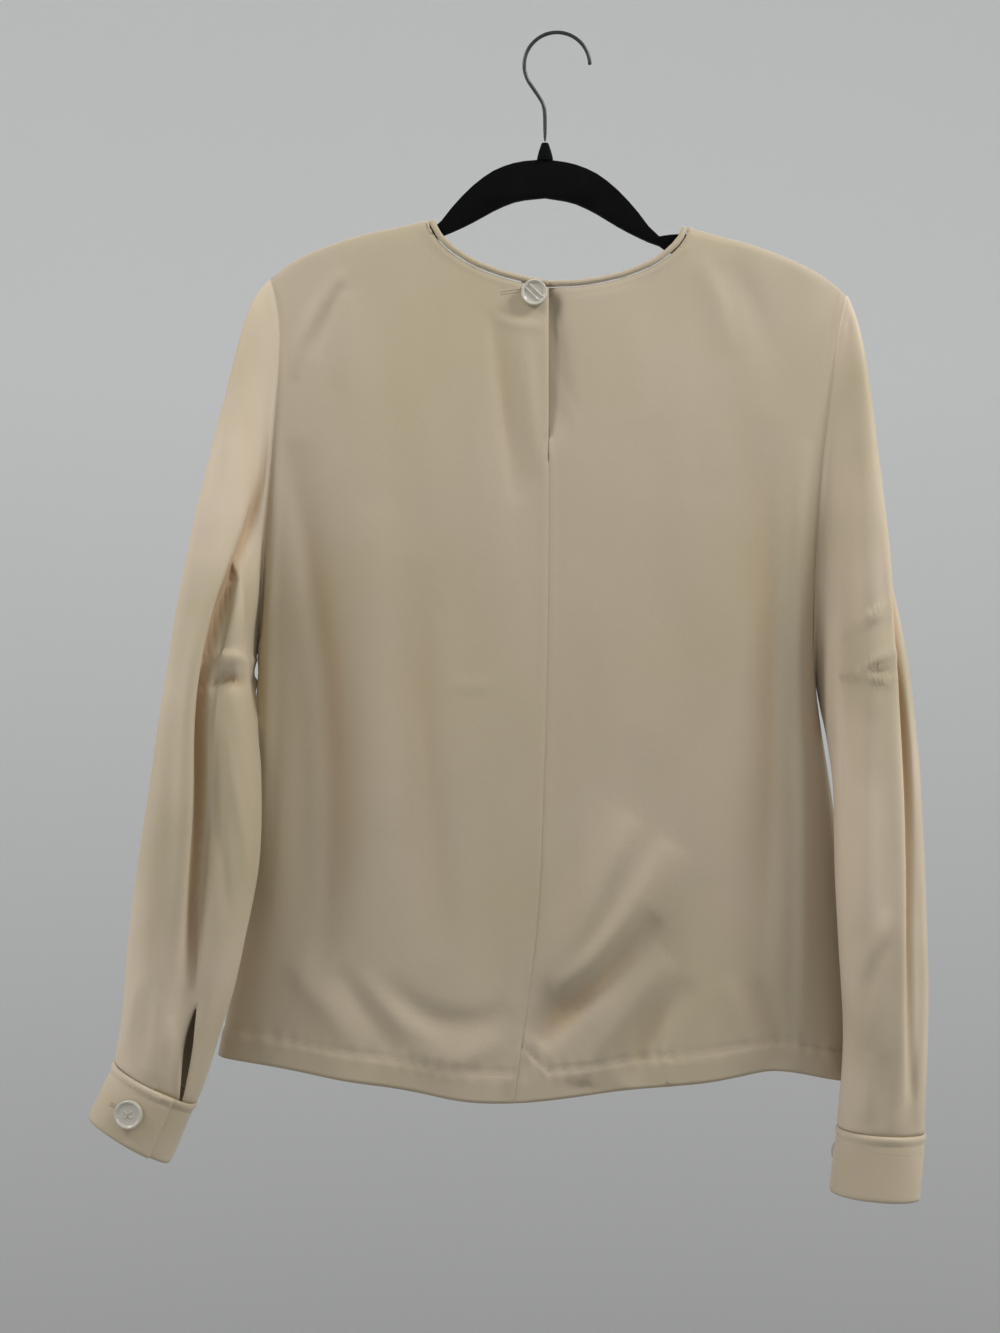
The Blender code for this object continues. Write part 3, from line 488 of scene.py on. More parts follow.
# %% Sleeve creases
LEFT_GROOVE = [(-0.196, -0.280), (-0.206, -0.347), (-0.218, -0.398), (-0.2295, -0.439), (-0.233, -0.472),
               (-0.234, -0.510), (-0.235, -0.550), (-0.239, -0.597), (-0.241, -0.664)]
SLEEVE_BACK = {
    "left": [
        Crease(-11.0, 3.4, 0.55, LEFT_GROOVE),
        Crease(4.6, 6.0, 0.35, [(x - 0.0080, z) for x, z in LEFT_GROOVE]),
        Crease(3.2, 5.0, -0.3, [(x + 0.0080, z) for x, z in LEFT_GROOVE]),
        Crease(2.4, 4.5, 0.3, [(-0.1935, -0.300), (-0.196, -0.345), (-0.2035, -0.392), (-0.213, -0.430)]),
        Crease(-2.2, 4.0, 0.2, [(-0.226, -0.478), (-0.2235, -0.520), (-0.221, -0.560), (-0.217, -0.610)]),
        Crease(4.4, 3.6, 0.5, [(-0.233, -0.4455), (-0.2215, -0.4345), (-0.2080, -0.4370), (-0.199, -0.4480)]),
        Crease(-6.0, 4.2, 0.4, [(-0.231, -0.4590), (-0.2180, -0.4500), (-0.2040, -0.4560)]),
        Crease(1.2, 3.2, 0.0, [(-0.219, -0.476), (-0.212, -0.526), (-0.204, -0.583)]),
        Crease(1.8, 11.0, 0.3, [(-0.258, -0.400), (-0.264, -0.505), (-0.267, -0.600), (-0.262, -0.690)]),
        Crease(-1.8, 11.0, 0.2, [(-0.246, -0.400), (-0.251, -0.500), (-0.256, -0.620), (-0.256, -0.690)]),
        Crease(1.3, 8.0, 0.2, [(-0.218, -0.230), (-0.232, -0.300), (-0.243, -0.380)]),
        Crease(-1.4, 9.0, 0.0, [(-0.206, -0.214), (-0.220, -0.290), (-0.231, -0.370)]),
        Crease(1.3, 5.0, 0.2, [(-0.278, -0.650), (-0.283, -0.676), (-0.288, -0.704)]),
        Crease(-1.2, 5.0, 0.0, [(-0.268, -0.650), (-0.272, -0.680), (-0.276, -0.712)]),
        Crease(1.2, 4.0, 0.0, [(-0.256, -0.676), (-0.258, -0.700), (-0.262, -0.722)]),
    ],
    "right": [
        Crease(4.6, 4.0, 0.55, [(0.2215, -0.300), (0.2255, -0.370), (0.2265, -0.420), (0.2305, -0.474),
                               (0.2315, -0.562), (0.2335, -0.651), (0.236, -0.736)]),
        Crease(-6.0, 3.8, 0.4, [(0.2275, -0.310), (0.2315, -0.374), (0.2325, -0.420), (0.2360, -0.474),
                                (0.2370, -0.562), (0.2390, -0.651), (0.2415, -0.736)]),
        Crease(1.6, 4.0, 0.0, [(0.194, -0.192), (0.2005, -0.205), (0.195, -0.219)]),
        Crease(-1.5, 3.6, 0.0, [(0.197, -0.187), (0.205, -0.204), (0.200, -0.222)]),
        Crease(2.4, 2.8, 0.4, [(0.199, -0.424), (0.209, -0.4095), (0.229, -0.403)]),
        Crease(2.8, 2.6, 0.4, [(0.196, -0.448), (0.212, -0.441), (0.232, -0.4325)]),
        Crease(2.6, 2.6, -0.4, [(0.196, -0.448), (0.212, -0.4495), (0.230, -0.4535)]),
        Crease(-3.2, 3.2, 0.0, [(0.206, -0.4455), (0.216, -0.4445), (0.228, -0.443)]),
        Crease(1.8, 6.0, 0.2, [(0.225, -0.604), (0.214, -0.628), (0.204, -0.652)]),
        Crease(-1.5, 6.0, 0.0, [(0.221, -0.622), (0.213, -0.646), (0.207, -0.674)]),
        Crease(2.0, 9.0, 0.2, [(0.207, -0.250), (0.211, -0.330), (0.2085, -0.400)]),
        Crease(-1.6, 9.0, 0.0, [(0.214, -0.470), (0.219, -0.560), (0.222, -0.640)]),
        Crease(1.8, 9.0, 0.2, [(0.2075, -0.480), (0.2085, -0.560), (0.207, -0.620)]),
        Crease(1.2, 5.0, 0.0, [(0.212, -0.700), (0.211, -0.726), (0.209, -0.750)]),
        Crease(-1.2, 5.0, 0.0, [(0.220, -0.700), (0.221, -0.726), (0.221, -0.752)]),
        Crease(1.1, 5.0, 0.0, [(0.246, -0.690), (0.246, -0.724), (0.245, -0.752)]),
    ],
}
SLEEVE_FRONT = {
    "left": [
        Crease(-2.8, 8.0, 0.2, [(-0.214, -0.300), (-0.232, -0.400), (-0.246, -0.500), (-0.256, -0.640)]),
        Crease(2.4, 9.0, 0.0, [(-0.226, -0.300), (-0.246, -0.400), (-0.262, -0.500), (-0.272, -0.640)]),
        Crease(1.8, 4.0, 0.3, [(-0.222, -0.438), (-0.238, -0.446), (-0.252, -0.440)]),
        Crease(-1.5, 5.0, 0.0, [(-0.224, -0.452), (-0.240, -0.460), (-0.256, -0.454)]),
    ],
    "right": [
        Crease(-2.6, 8.0, -0.2, [(0.208, -0.310), (0.215, -0.420), (0.219, -0.560), (0.220, -0.680)]),
        Crease(2.4, 9.0, 0.0, [(0.220, -0.310), (0.229, -0.420), (0.236, -0.560), (0.238, -0.700)]),
        Crease(1.6, 4.0, 0.3, [(0.206, -0.448), (0.220, -0.440), (0.236, -0.446)]),
        Crease(-1.4, 5.0, 0.0, [(0.204, -0.462), (0.220, -0.454), (0.238, -0.460)]),
    ],
}

# %% [markdown]
# ## Shaping the body
#
# Both back panels take their creases from one table, so a fold that crosses the middle seam runs on
# unbroken. Then each edge gets its own finish: seams sink a little between pressed allowances, the
# slit's edge is rolled, and the hem is a doubled band with a stitched groove above it.

# %% Body tools
def seam_profile(distance):
    """A stitched seam: a narrow sink at the edge and a pressed allowance beside it."""
    return -0.30 * MM * bump(distance, 1.1 * MM) + 0.22 * MM * bump(distance - 3.6 * MM, 1.8 * MM)


def edge_roll(distance):
    return -0.7 * MM * bump(distance, 1.2 * MM)


def hem_line(name):
    """The hem's edge as matching arrays of x and z, from left to right."""
    rim = rims[name]
    low = rim[(~held[name]) & (rim[:, 2] < CAD_BOX[0][2] * 0.86)]
    low = low[np.argsort(low[:, 0])]
    keep = [low[0]]
    for point in low[1:]:
        if abs(point[2] - keep[-1][2]) < 2.5 * MM + 0.8 * (point[0] - keep[-1][0]):
            keep.append(point)
    line = np.array(keep)
    return line[:, 0], line[:, 2]


def hem_profile(points, line):
    above = points[:, 2] - np.interp(points[:, 0], *line)
    doubled = 1.00 * MM * (1.0 - smooth(HEM_HEIGHT - 0.8 * MM, HEM_HEIGHT + 0.6 * MM, above))
    stitched = -1.0 * MM * bump(above - HEM_HEIGHT, 1.6 * MM)
    pucker = 0.40 * MM * np.sin(points[:, 0] / (1.9 * MM) + 2.0 * np.sin(points[:, 0] / (13 * MM)))
    return doubled + stitched + pucker * bump(above - HEM_HEIGHT, 6 * MM)


def close_seams(name, others):
    """Draws a panel's rim half way to its neighbours' rims, so that a seam shows as a line, not a gap."""
    points = points_of(panels[name])
    rim = rims[name]
    meet = []
    for point in rim:
        spots = [trees[other].find_nearest(Vector(point), SEAM_REACH) for other in others]
        spots = [spot for spot in spots if spot[0] is not None]
        if spots:
            nearest = min(spots, key=lambda spot: spot[3])[0]
            meet.append((point, (np.array(nearest) - point) * 0.48))
    tree = KDTree(len(meet))
    for index, (point, _) in enumerate(meet):
        tree.insert(point, index)
    tree.balance()
    for index, point in enumerate(points):
        _, found, gap = tree.find(point)
        if gap < SEAM_EASE:
            points[index] += meet[found][1] * (1.0 - gap / SEAM_EASE)
    move_points(panels[name], points)
    print(name, len(meet), "rim points drawn in")


def push(obj, heights, warmth):
    """Moves every point along its normal, and keeps how deep in a fold it lies, for the painted shade in the
    folds.
    """
    move_points(obj, points_of(obj) + normals_of(obj) * heights[:, None])
    layer = obj.data.attributes.new("warmth", "FLOAT", "POINT")
    layer.data.foreach_set("value", np.clip(warmth, 0.0, 1.0))


def finish_shell(obj, thickness):
    apply_modifier(obj, "SOLIDIFY", thickness=thickness, offset=-1.0)
    smooth_shade(obj)


# %% Close the seams
for name, others in [
    ("back_left", ["back_right", "front", "sleeve_left"]),
    ("back_right", ["back_left", "front", "sleeve_right"]),
    ("front", ["back_left", "back_right", "sleeve_left", "sleeve_right"]),
    ("sleeve_left", ["back_left", "front", "cuff_left"]),
    ("sleeve_right", ["back_right", "front", "cuff_right"]),
    ("cuff_left", ["sleeve_left"]),
    ("cuff_right", ["sleeve_right"]),
]:
    close_seams(name, others)

# %% Shape the body panels
SLIT_LOW = -0.300
BODY_SEED = {"back_left": 3.0, "back_right": 3.0, "front": 11.0}
hems = {name: hem_line(name) for name in BODY_SEED}
middle_seams = {
    "back_left": rims["back_left"][beside(rims["back_left"], ["back_right"], 0.9 * MM) & ~held["back_left"]],
    "back_right": rims["back_right"][
        beside(rims["back_right"], ["back_left"], 0.9 * MM) & ~held["back_right"]
    ],
}
for name, seed in BODY_SEED.items():
    panel = panels[name]
    points = points_of(panel)
    table = FRONT_CREASES if name == "front" else BACK_CREASES
    to_seam = distance_to(points, rims[name][held[name]])
    folds = creased(points[:, [0, 2]], table)
    folds += waves(points, 2.2 * MM, 0.070, 0.240, seed) + waves(points, 0.80 * MM, 0.024, 0.075, seed + 5)
    heights = folds * smooth(0.0, HOLD, to_seam) + seam_profile(to_seam) + hem_profile(points, hems[name])
    if name in middle_seams:
        heights += seam_profile(distance_to(points, middle_seams[name]))
    if name == "back_left":
        free = rims[name][~held[name]]
        slit = free[free[:, 2] > SLIT_LOW]
        heights += edge_roll(distance_to(points, slit))
    # The last value is how much painted fold shade each point gets.
    push(panel, heights, smooth(1.0 * MM, 6.0 * MM, -folds) * 0.5)
    lowest, highest = float(heights.min()), float(heights.max())
    print(name, "moved by", round(lowest * 1000, 1), "to", round(highest * 1000, 1), "mm")

# %% [markdown]
# ## Shaping the sleeves and cuffs
#
# A sleeve is a tube, so its back creases apply only where it faces backwards, and its hidden side has
# a few of its own. A cuff is a short stiff band with a rounded ridge where the sleeve is gathered in.

# %% Shape the sleeves
for side in ("left", "right"):
    name = f"sleeve_{side}"
    panel = panels[name]
    points, normals = points_of(panel), normals_of(panel)
    flat = points[:, [0, 2]]
    to_seam = distance_to(points, rims[name][held[name]])
    to_slit = distance_to(points, rims[name][~held[name]])
    facing_back = smooth(-0.15, 0.45, -normals[:, 1])
    facing_front = smooth(-0.15, 0.45, normals[:, 1])
    folds = creased(flat, SLEEVE_BACK[side]) * facing_back + creased(flat, SLEEVE_FRONT[side]) * facing_front
    swell = waves(points, 2.0 * MM, 0.034, 0.200, 21.0) + waves(points, 0.6 * MM, 0.016, 0.055, 27.0)
    heights = (folds + swell) * smooth(0.0, HOLD, to_seam) + seam_profile(to_seam) + edge_roll(to_slit)
    # The last value is how much painted fold shade each point gets.
    push(panel, heights, smooth(0.8 * MM, 4.5 * MM, -folds) * 0.9)
    lowest, highest = float(heights.min()), float(heights.max())
    print(name, "moved by", round(lowest * 1000, 1), "to", round(highest * 1000, 1), "mm")

# %% Shape the cuffs
CUFF_RIDGE = 2.8 * MM      # from a cuff's top edge to the crest of its rounded ridge
CUFF_STITCH = 6.0 * MM     # from the top edge to the stitches below it


def cuff_profile(to_top, to_edge):
    ridge = 1.1 * MM * bump(to_top - CUFF_RIDGE, 2.0 * MM)
    stitched = -0.45 * MM * bump(to_top - CUFF_STITCH, 1.0 * MM)
    return ridge + stitched - 0.6 * MM * bump(to_edge, 1.0 * MM)


for side in ("left", "right"):
    name = f"cuff_{side}"
    panel = panels[name]
    points = points_of(panel)
    to_top = distance_to(points, rims[name][held[name]])
    to_edge = distance_to(points, rims[name][~held[name]])
    heights = cuff_profile(to_top, to_edge) + waves(points, 0.5 * MM, 0.016, 0.030, 33.0)
    push(panel, heights, np.zeros(len(points)))
    print(name, "band", len(panel.data.polygons), "faces")

for name, panel in panels.items():
    finish_shell(panel, CUFF_SHELL if name.startswith("cuff") else SHELL)

# %% [markdown]
# ## The neck's binding
#
# The neckline is finished with a bias strip rolled round its edge. Its frame piece is a plain tube,
# so a finer copy gets the faint, slanting ripples that a stretched bias strip has.

# %% Binding
def fine_copy(node, name, levels):
    bm = merged_copy(node)
    to_quads(bm)
    obj = object_from(bm, name)
    apply_modifier(obj, "SUBSURF", levels=levels, render_levels=levels)
    smooth_shade(obj)
    return obj


binding = fine_copy("neck_binding", "neck_binding_rolled", 2)
points = points_of(binding)
neck_centre = points.mean(axis=0)
turn = np.arctan2(points[:, 2] - neck_centre[2], points[:, 0] - neck_centre[0])
ripple = 0.10 * MM * np.sin(110 * turn + points[:, 1] / (1.1 * MM)) + 0.10 * MM * np.sin(37 * turn)
move_points(binding, points + normals_of(binding) * ripple[:, None])
print("binding", len(binding.data.polygons), "faces")

# %% [markdown]
# ## Buttons
#
# Each button is a turned pearl disc. It starts as a cylinder, its top is inset and pushed down to
# leave a rim, and the edges are rounded with a bevel. The neck's button has two raised bars across
# it, and the cuffs' have thread through four holes. One is modelled flat and then set at its place,
# which is measured from the frame's own button.

# %% Button tools
def button_seat(node, outward_from):
    """Where the frame's button is and which way it faces, as a matrix, with its radius and depth."""
    bm = merged_copy(node)
    points = np.array([vert.co[:] for vert in bm.verts])
    bm.free()
    middle = (points.max(axis=0) + points.min(axis=0)) / 2
    axes = np.linalg.svd(points - points.mean(axis=0), full_matrices=False)[2]
    facing = Vector(axes[2])
    if facing.dot(Vector(middle) - outward_from) < 0:
        facing.negate()
    level = Vector((1.0, 0.0, 0.0))
    level = (level - facing * level.dot(facing)).normalized()
    upright = facing.cross(level)
    spread = (points - middle) @ np.array(facing)
    radius = float(np.linalg.norm(np.cross(points - middle, np.array(facing)), axis=1).max())
    turn = Matrix((level, upright, facing)).transposed().to_4x4()
    return Matrix.Translation(middle) @ turn, radius, float(spread.max() - spread.min())


def edit(obj):
    activate(obj)
    bpy.ops.object.mode_set(mode="EDIT")
    bpy.ops.mesh.select_mode(type="FACE")
    bpy.ops.mesh.select_all(action="DESELECT")
    return bmesh.from_edit_mesh(obj.data)


def turned_disc(name, radius, depth):
    bpy.ops.object.select_all(action="DESELECT")
    bpy.ops.mesh.primitive_cylinder_add(vertices=72, radius=radius, depth=depth)
    disc = bpy.context.object
    disc.name = name
    bm = edit(disc)
    top = max(bm.faces, key=lambda face: face.calc_center_median().z)
    top.select = True
    bmesh.update_edit_mesh(disc.data)
    bpy.ops.mesh.inset(thickness=radius * 0.16, depth=0.0)
    bpy.ops.mesh.inset(thickness=radius * 0.07, depth=-depth * 0.22)
    bpy.ops.mesh.inset(thickness=radius * 0.30, depth=-depth * 0.03)
    bpy.ops.mesh.inset(thickness=radius * 0.30, depth=0.0)
    bpy.ops.object.mode_set(mode="OBJECT")
    apply_modifier(
        disc, "BEVEL", width=depth * 0.16, segments=4, limit_method="ANGLE", angle_limit=math.radians(35)
    )
    bpy.ops.object.shade_smooth_by_angle(angle=math.radians(40))
    return disc


def rounded_bar(length, width, height, place, angle):
    bpy.ops.object.select_all(action="DESELECT")
    bpy.ops.mesh.primitive_cube_add(size=1.0, location=place)
    bar = bpy.context.object
    bar.scale = (length, width, height)
    bar.rotation_euler = (0.0, 0.0, angle)
    bpy.ops.object.transform_apply(location=True, rotation=True, scale=True)
    apply_modifier(bar, "BEVEL", width=min(width, height) * 0.42, segments=4)
    bpy.ops.object.shade_smooth()
    return bar


def joined(name, pieces):
    activate(pieces[0])
    for piece in pieces[1:]:
        piece.select_set(True)
    bpy.ops.object.join()
    pieces[0].name = name
    return pieces[0]


def set_at(obj, seat):
    obj.data.transform(seat)
    obj.data.update()


# %% Model the buttons
BAR_ANGLE = math.radians(-45)
BODY_MIDDLE = Vector((0.0, 0.05, -0.30))

seats = {}
buttons, button_threads = {}, {}
for node in ("button_neck", "button_cuff_left", "button_cuff_right"):
    if node == "button_neck":
        inside = BODY_MIDDLE
    else:
        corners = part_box(node.replace("button_", ""))
        inside = (Vector(corners[0]) + Vector(corners[1])) / 2
    seat, radius, depth = button_seat(node, inside)
    seats[node] = (seat, radius, depth)
    pieces = [turned_disc(f"{node}_pearl", radius, depth)]
    dish = depth * 0.25
    if node == "button_neck":
        for offset in (-0.20, 0.20):
            across = Vector((-math.sin(BAR_ANGLE), math.cos(BAR_ANGLE), 0.0)) * radius * offset
            place = across + Vector((0.0, 0.0, dish))
            pieces.append(rounded_bar(radius * 1.42, radius * 0.17, depth * 0.34, place, BAR_ANGLE))
    else:
        for corner in range(4):
            around = math.radians(45 + 90 * corner)
            place = Vector((math.cos(around), math.sin(around), 0.0)) * radius * 0.22 + Vector((0, 0, dish))
            pieces.append(rounded_bar(radius * 0.26, radius * 0.13, depth * 0.22, place, around))
    button = joined(f"{node}_pearl", pieces)
    threads = []
    for angle in (45, 135) if node != "button_neck" else (-45,):
        middle = Vector((0, 0, dish + 0.30 * MM))
        threads.append(rounded_bar(radius * 0.34, 0.45 * MM, 0.5 * MM, middle, math.radians(angle)))
    thread = joined(f"{node}_thread", threads)
    for piece in (button, thread):
        set_at(piece, seat)
    buttons[node], button_threads[node] = button, thread
    print(node, "radius", round(radius * 1000, 2), "depth", round(depth * 1000, 2), "faces", seat.col[2][:3])

# %% [markdown]
# ## Stitches
#
# The hem, the cuffs and the buttonholes are sewn with thread that can be seen close up. One stitch is
# a small stretched ball. It is copied along rows that are found by casting rays onto the shells, and
# each stitch is sunk a little into the cloth.

# %% Stitch tools
bpy.ops.object.select_all(action="DESELECT")
bpy.ops.mesh.primitive_uv_sphere_add(segments=8, ring_count=6, radius=1.0)
stitch_model = bpy.context.object
STITCH_POINTS = points_of(stitch_model)
STITCH_FACES = [face.vertices[:] for face in stitch_model.data.polygons]
bpy.data.objects.remove(stitch_model)


def sewn(name, rows, half_width):
    """One mesh of a stitch for every (start, end, outward) in rows."""
    points, faces = [], []
    for start, end, outward in rows:
        along = end - start
        aside = outward.cross(along).normalized()
        middle = (start + end) / 2 + outward * half_width * 0.45
        axes = np.array([along / 2, aside * half_width, outward * half_width])
        base = len(points) * len(STITCH_POINTS)
        points.append(STITCH_POINTS @ axes + np.array(middle))
        faces += [tuple(base + index for index in face) for face in STITCH_FACES]
    mesh = bpy.data.meshes.new(name)
    mesh.from_pydata(np.concatenate(points).tolist(), [], faces)
    bm = bmesh.new()
    bm.from_mesh(mesh)
    bmesh.ops.recalc_face_normals(bm, faces=bm.faces)
    bm.to_mesh(mesh)
    bm.free()
    obj = new_object(name, mesh)
    smooth_shade(obj)
    print(name, len(rows), "stitches")
    return obj


def row_between(spots):
    """Stitches with small gaps, along a list of (point, outward) spots."""
    lengths = [0.0]
    for (a, _), (b, _) in zip(spots[:-1], spots[1:]):
        lengths.append(lengths[-1] + (b - a).length)
    pitch = STITCH_LENGTH + STITCH_GAP
    rows = []
    for step in range(int(lengths[-1] / pitch)):
        ends = []
        for place in (step * pitch, step * pitch + STITCH_LENGTH):
            after = min(int(np.searchsorted(lengths, place, side="right")), len(spots) - 1)
            span = max(lengths[after] - lengths[after - 1], 1e-9)
            ends.append(spots[after - 1][0].lerp(spots[after][0], (place - lengths[after - 1]) / span))
        rows.append((ends[0], ends[1], spots[after][1]))
    return rows


def on_cloth(tree, start, way):
    spot, normal, _, _ = tree.ray_cast(start, way)
    if spot is None:
        return None
    return spot, normal if normal.dot(way) < 0 else -normal


# %% Sew the hem
shells = {name: tree_of(panel) for name, panel in panels.items()}
FAR = 0.4
for name, way in [("back_left", 1.0), ("back_right", 1.0), ("front", -1.0)]:
    line = hems[name]
    spots = []
    for x in np.arange(line[0][0] + 3 * MM, line[0][-1] - 3 * MM, 1.0 * MM):
        z = float(np.interp(x, *line)) + HEM_HEIGHT
        spot = on_cloth(shells[name], Vector((x, -way * FAR, z)), Vector((0.0, way, 0.0)))
        if spot:
            spots.append(spot)
    panels[f"{name}_hem_stitches"] = sewn(f"{name}_hem_stitches", row_between(spots), THREAD)


# %% Sew the cuffs
def cuff_axis(side):
    top = rims[f"cuff_{side}"][held[f"cuff_{side}"]]
    whole = points_of(panels[f"cuff_{side}"])
    start = Vector(top.mean(axis=0))
    return start, (Vector(whole.mean(axis=0)) - start).normalized()


def cuff_spot(side, along, angle):
    start, axis = cuff_axis(side)
    across = axis.cross(Vector((0.0, 1.0, 0.0))).normalized()
    out = across * math.cos(angle) + axis.cross(across) * math.sin(angle)
    return on_cloth(shells[f"cuff_{side}"], start + axis * along + out * 0.1, -out)


for side in ("left", "right"):
    rows = []
    for along in (CUFF_STITCH,):
        spots = [cuff_spot(side, along, math.radians(a)) for a in range(0, 361, 3)]
        rows += row_between([spot for spot in spots if spot])
    panels[f"cuff_{side}_stitches"] = sewn(f"cuff_{side}_stitches", rows, THREAD)


# %% Work the buttonholes
def buttonhole(name, tree, centre, along, way, length):
    """Two rows of close stitches along a slit, and a few across each end."""
    across = way.cross(along).normalized()
    rows = []
    steps = int(length / (0.42 * MM))
    for step in range(steps + 1):
        place = centre + along * (step / steps - 0.5) * length
        for side in (-1, 1):
            near = on_cloth(tree, place + across * side * 0.25 * MM - way * 0.02, way)
            far = on_cloth(tree, place + across * side * 1.55 * MM - way * 0.02, way)
            if near and far:
                rows.append((near[0], far[0], near[1]))
    for end in (-0.5, 0.5):
        for step in (-1.0, -0.5, 0.0, 0.5, 1.0):
            spot = centre + across * step * 1.3 * MM + along * (end * length)
            near = on_cloth(tree, spot - along * 0.8 * MM - way * 0.02, way)
            far = on_cloth(tree, spot + along * 0.8 * MM - way * 0.02, way)
            if near and far:
                rows.append((near[0], far[0], near[1]))
    return sewn(name, rows, 0.20 * MM)


neck_seat, neck_radius, _ = seats["button_neck"]
hole_centre = neck_seat.translation + Vector((-neck_radius - 7.0 * MM, 0.0, 1.6 * MM))
panels["buttonhole_neck"] = buttonhole(
    "buttonhole_neck", shells["back_left"], hole_centre,
    Vector((1.0, 0.0, 0.15)).normalized(), Vector((0, 1, 0)), 13 * MM
)
for side in ("left", "right"):
    seat, radius, _ = seats[f"button_cuff_{side}"]
    way = -Vector(seat.col[2][:3])
    axis = cuff_axis(side)[1]
    along = way.cross(axis).normalized()
    if along.x > 0:
        along.negate()
    centre = seat.translation + along * (radius + 1.5 * MM)
    panels[f"buttonhole_cuff_{side}"] = buttonhole(
        f"buttonhole_cuff_{side}", shells[f"cuff_{side}"], centre, along, way, 9 * MM
    )

# %% [markdown]
# ## The hanger
#
# The hanger is a slim arch of plastic covered in short black flocking, with a lacquered wire hook. Its
# frame pieces have the right shape, so finer copies with softened edges stand in for them.

# %% Hanger
def softened_copy(node, name, width, levels):
    bm = merged_copy(node)
    to_quads(bm)
    obj = object_from(bm, name)
    apply_modifier(obj, "BEVEL", width=width, segments=3, limit_method="ANGLE", angle_limit=math.radians(40))
    if levels:
        apply_modifier(obj, "SUBSURF", levels=levels, render_levels=levels)
    smooth_shade(obj)
    bpy.ops.object.shade_smooth_by_angle(angle=math.radians(50))
    return obj


hanger_parts = {
    "hanger_body": softened_copy("hanger_body", "hanger_body_flocked", 1.1 * MM, 0),
    "hanger_collar": softened_copy("hanger_collar", "hanger_collar_flocked", 0.5 * MM, 1),
    "hanger_hook": fine_copy("hanger_hook", "hanger_hook_wire", 2),
}
for node, piece in hanger_parts.items():
    print(node, len(piece.data.polygons), "faces")


# %% [markdown]
# ## Materials
#
# Shader maths is easier to read as plain expressions, so one small class stands for a socket and turns
# +, -, * and / into Math nodes. A second class holds a material and adds any other node.

# %% Shader tools
class Reading:
    """A node's output that can be calculated with."""

    def __init__(self, finish, socket):
        self.finish = finish
        self.socket = socket

    def math(self, operation, first, second):
        return self.finish.node("ShaderNodeMath", {"operation": operation}, {0: first, 1: second})

    def __add__(self, other):
        return self.math("ADD", self, other)

    def __sub__(self, other):
        return self.math("SUBTRACT", self, other)

    def __mul__(self, other):
        return self.math("MULTIPLY", self, other)

    def __truediv__(self, other):
        return self.math("DIVIDE", self, other)

    def __rsub__(self, other):
        return self.math("SUBTRACT", other, self)

    __radd__ = __add__
    __rmul__ = __mul__


class Finish:
    """A material with a Principled shader, and a short way to add nodes to it."""

    def __init__(self, name, **constants):
        self.material = bpy.data.materials.new(name)
        self.material.use_nodes = True
        self.tree = self.material.node_tree
        self.shader = self.tree.nodes["Principled BSDF"]
        for socket, value in constants.items():
            self.shader.inputs[socket.replace("_", " ")].default_value = value

    def node(self, kind, settings, inputs, output=0):
        node = self.tree.nodes.new(kind)
        for name, value in settings.items():
            if name == "stops":
                for stop, (place, colour) in zip(node.color_ramp.elements, value):
                    stop.position, stop.color = place, (*colour, 1.0)
            else:
                setattr(node, name, value)
        for name, value in inputs.items():
            self.feed(node.inputs[name], value)
        return Reading(self, node.outputs[output])

    def feed(self, socket, value):
        if isinstance(value, Reading):
            self.tree.links.new(value.socket, socket)
        elif isinstance(value, tuple) and len(value) == 3 and socket.type == "RGBA":
            socket.default_value = (*value, 1.0)
        else:
            socket.default_value = value

    def places(self):
        return self.node("ShaderNodeTexCoord", {}, {}, "Object")

    def noise(self, scale, detail=2.0, stretch=(1.0, 1.0, 1.0)):
        mapped = self.node("ShaderNodeMapping", {}, {"Vector": self.places(), "Scale": stretch})
        inputs = {"Vector": mapped, "Scale": scale, "Detail": detail}
        return self.node("ShaderNodeTexNoise", {}, inputs, "Fac")

    def blend(self, share, first, second):
        mix = {"data_type": "RGBA"}
        return self.node("ShaderNodeMix", mix, {0: share, 6: first, 7: second}, 2)

    def bumped(self, height, strength, distance):
        self.feed(self.shader.inputs["Normal"], self.node(
            "ShaderNodeBump", {}, {"Height": height, "Strength": strength, "Distance": distance}
        ))

    def shade(self, socket, value):
        self.feed(self.shader.inputs[socket], value)


# %% [markdown]
# ### Silk crepe
#
# Cream silk crepe has a dull sheen and a fine pebbled grain. Its colour wanders very slightly, a little
# yellower in places. Deep folds get painted shade, a darker, warmer brown that stands for the light bouncing
# about inside a fold. How deep each point lies in a fold was kept as an attribute when the cloth was shaped.

# %% Silk
# The body's cream is darker than the sleeves' copy of the same silk: painted shade on the body, painted light
# on the sleeves and cuffs.
CREAM = (0.530, 0.442, 0.322)
CREAM_YELLOW = (0.515, 0.430, 0.285)
CREAM_LIT = (0.700, 0.578, 0.432)
# The fold colour, a darker warm brown, is painted shade for the insides of deep folds.
CREAM_FOLD_SHADE = (0.500, 0.340, 0.190)
CREAM_DULL = (0.54, 0.46, 0.35)


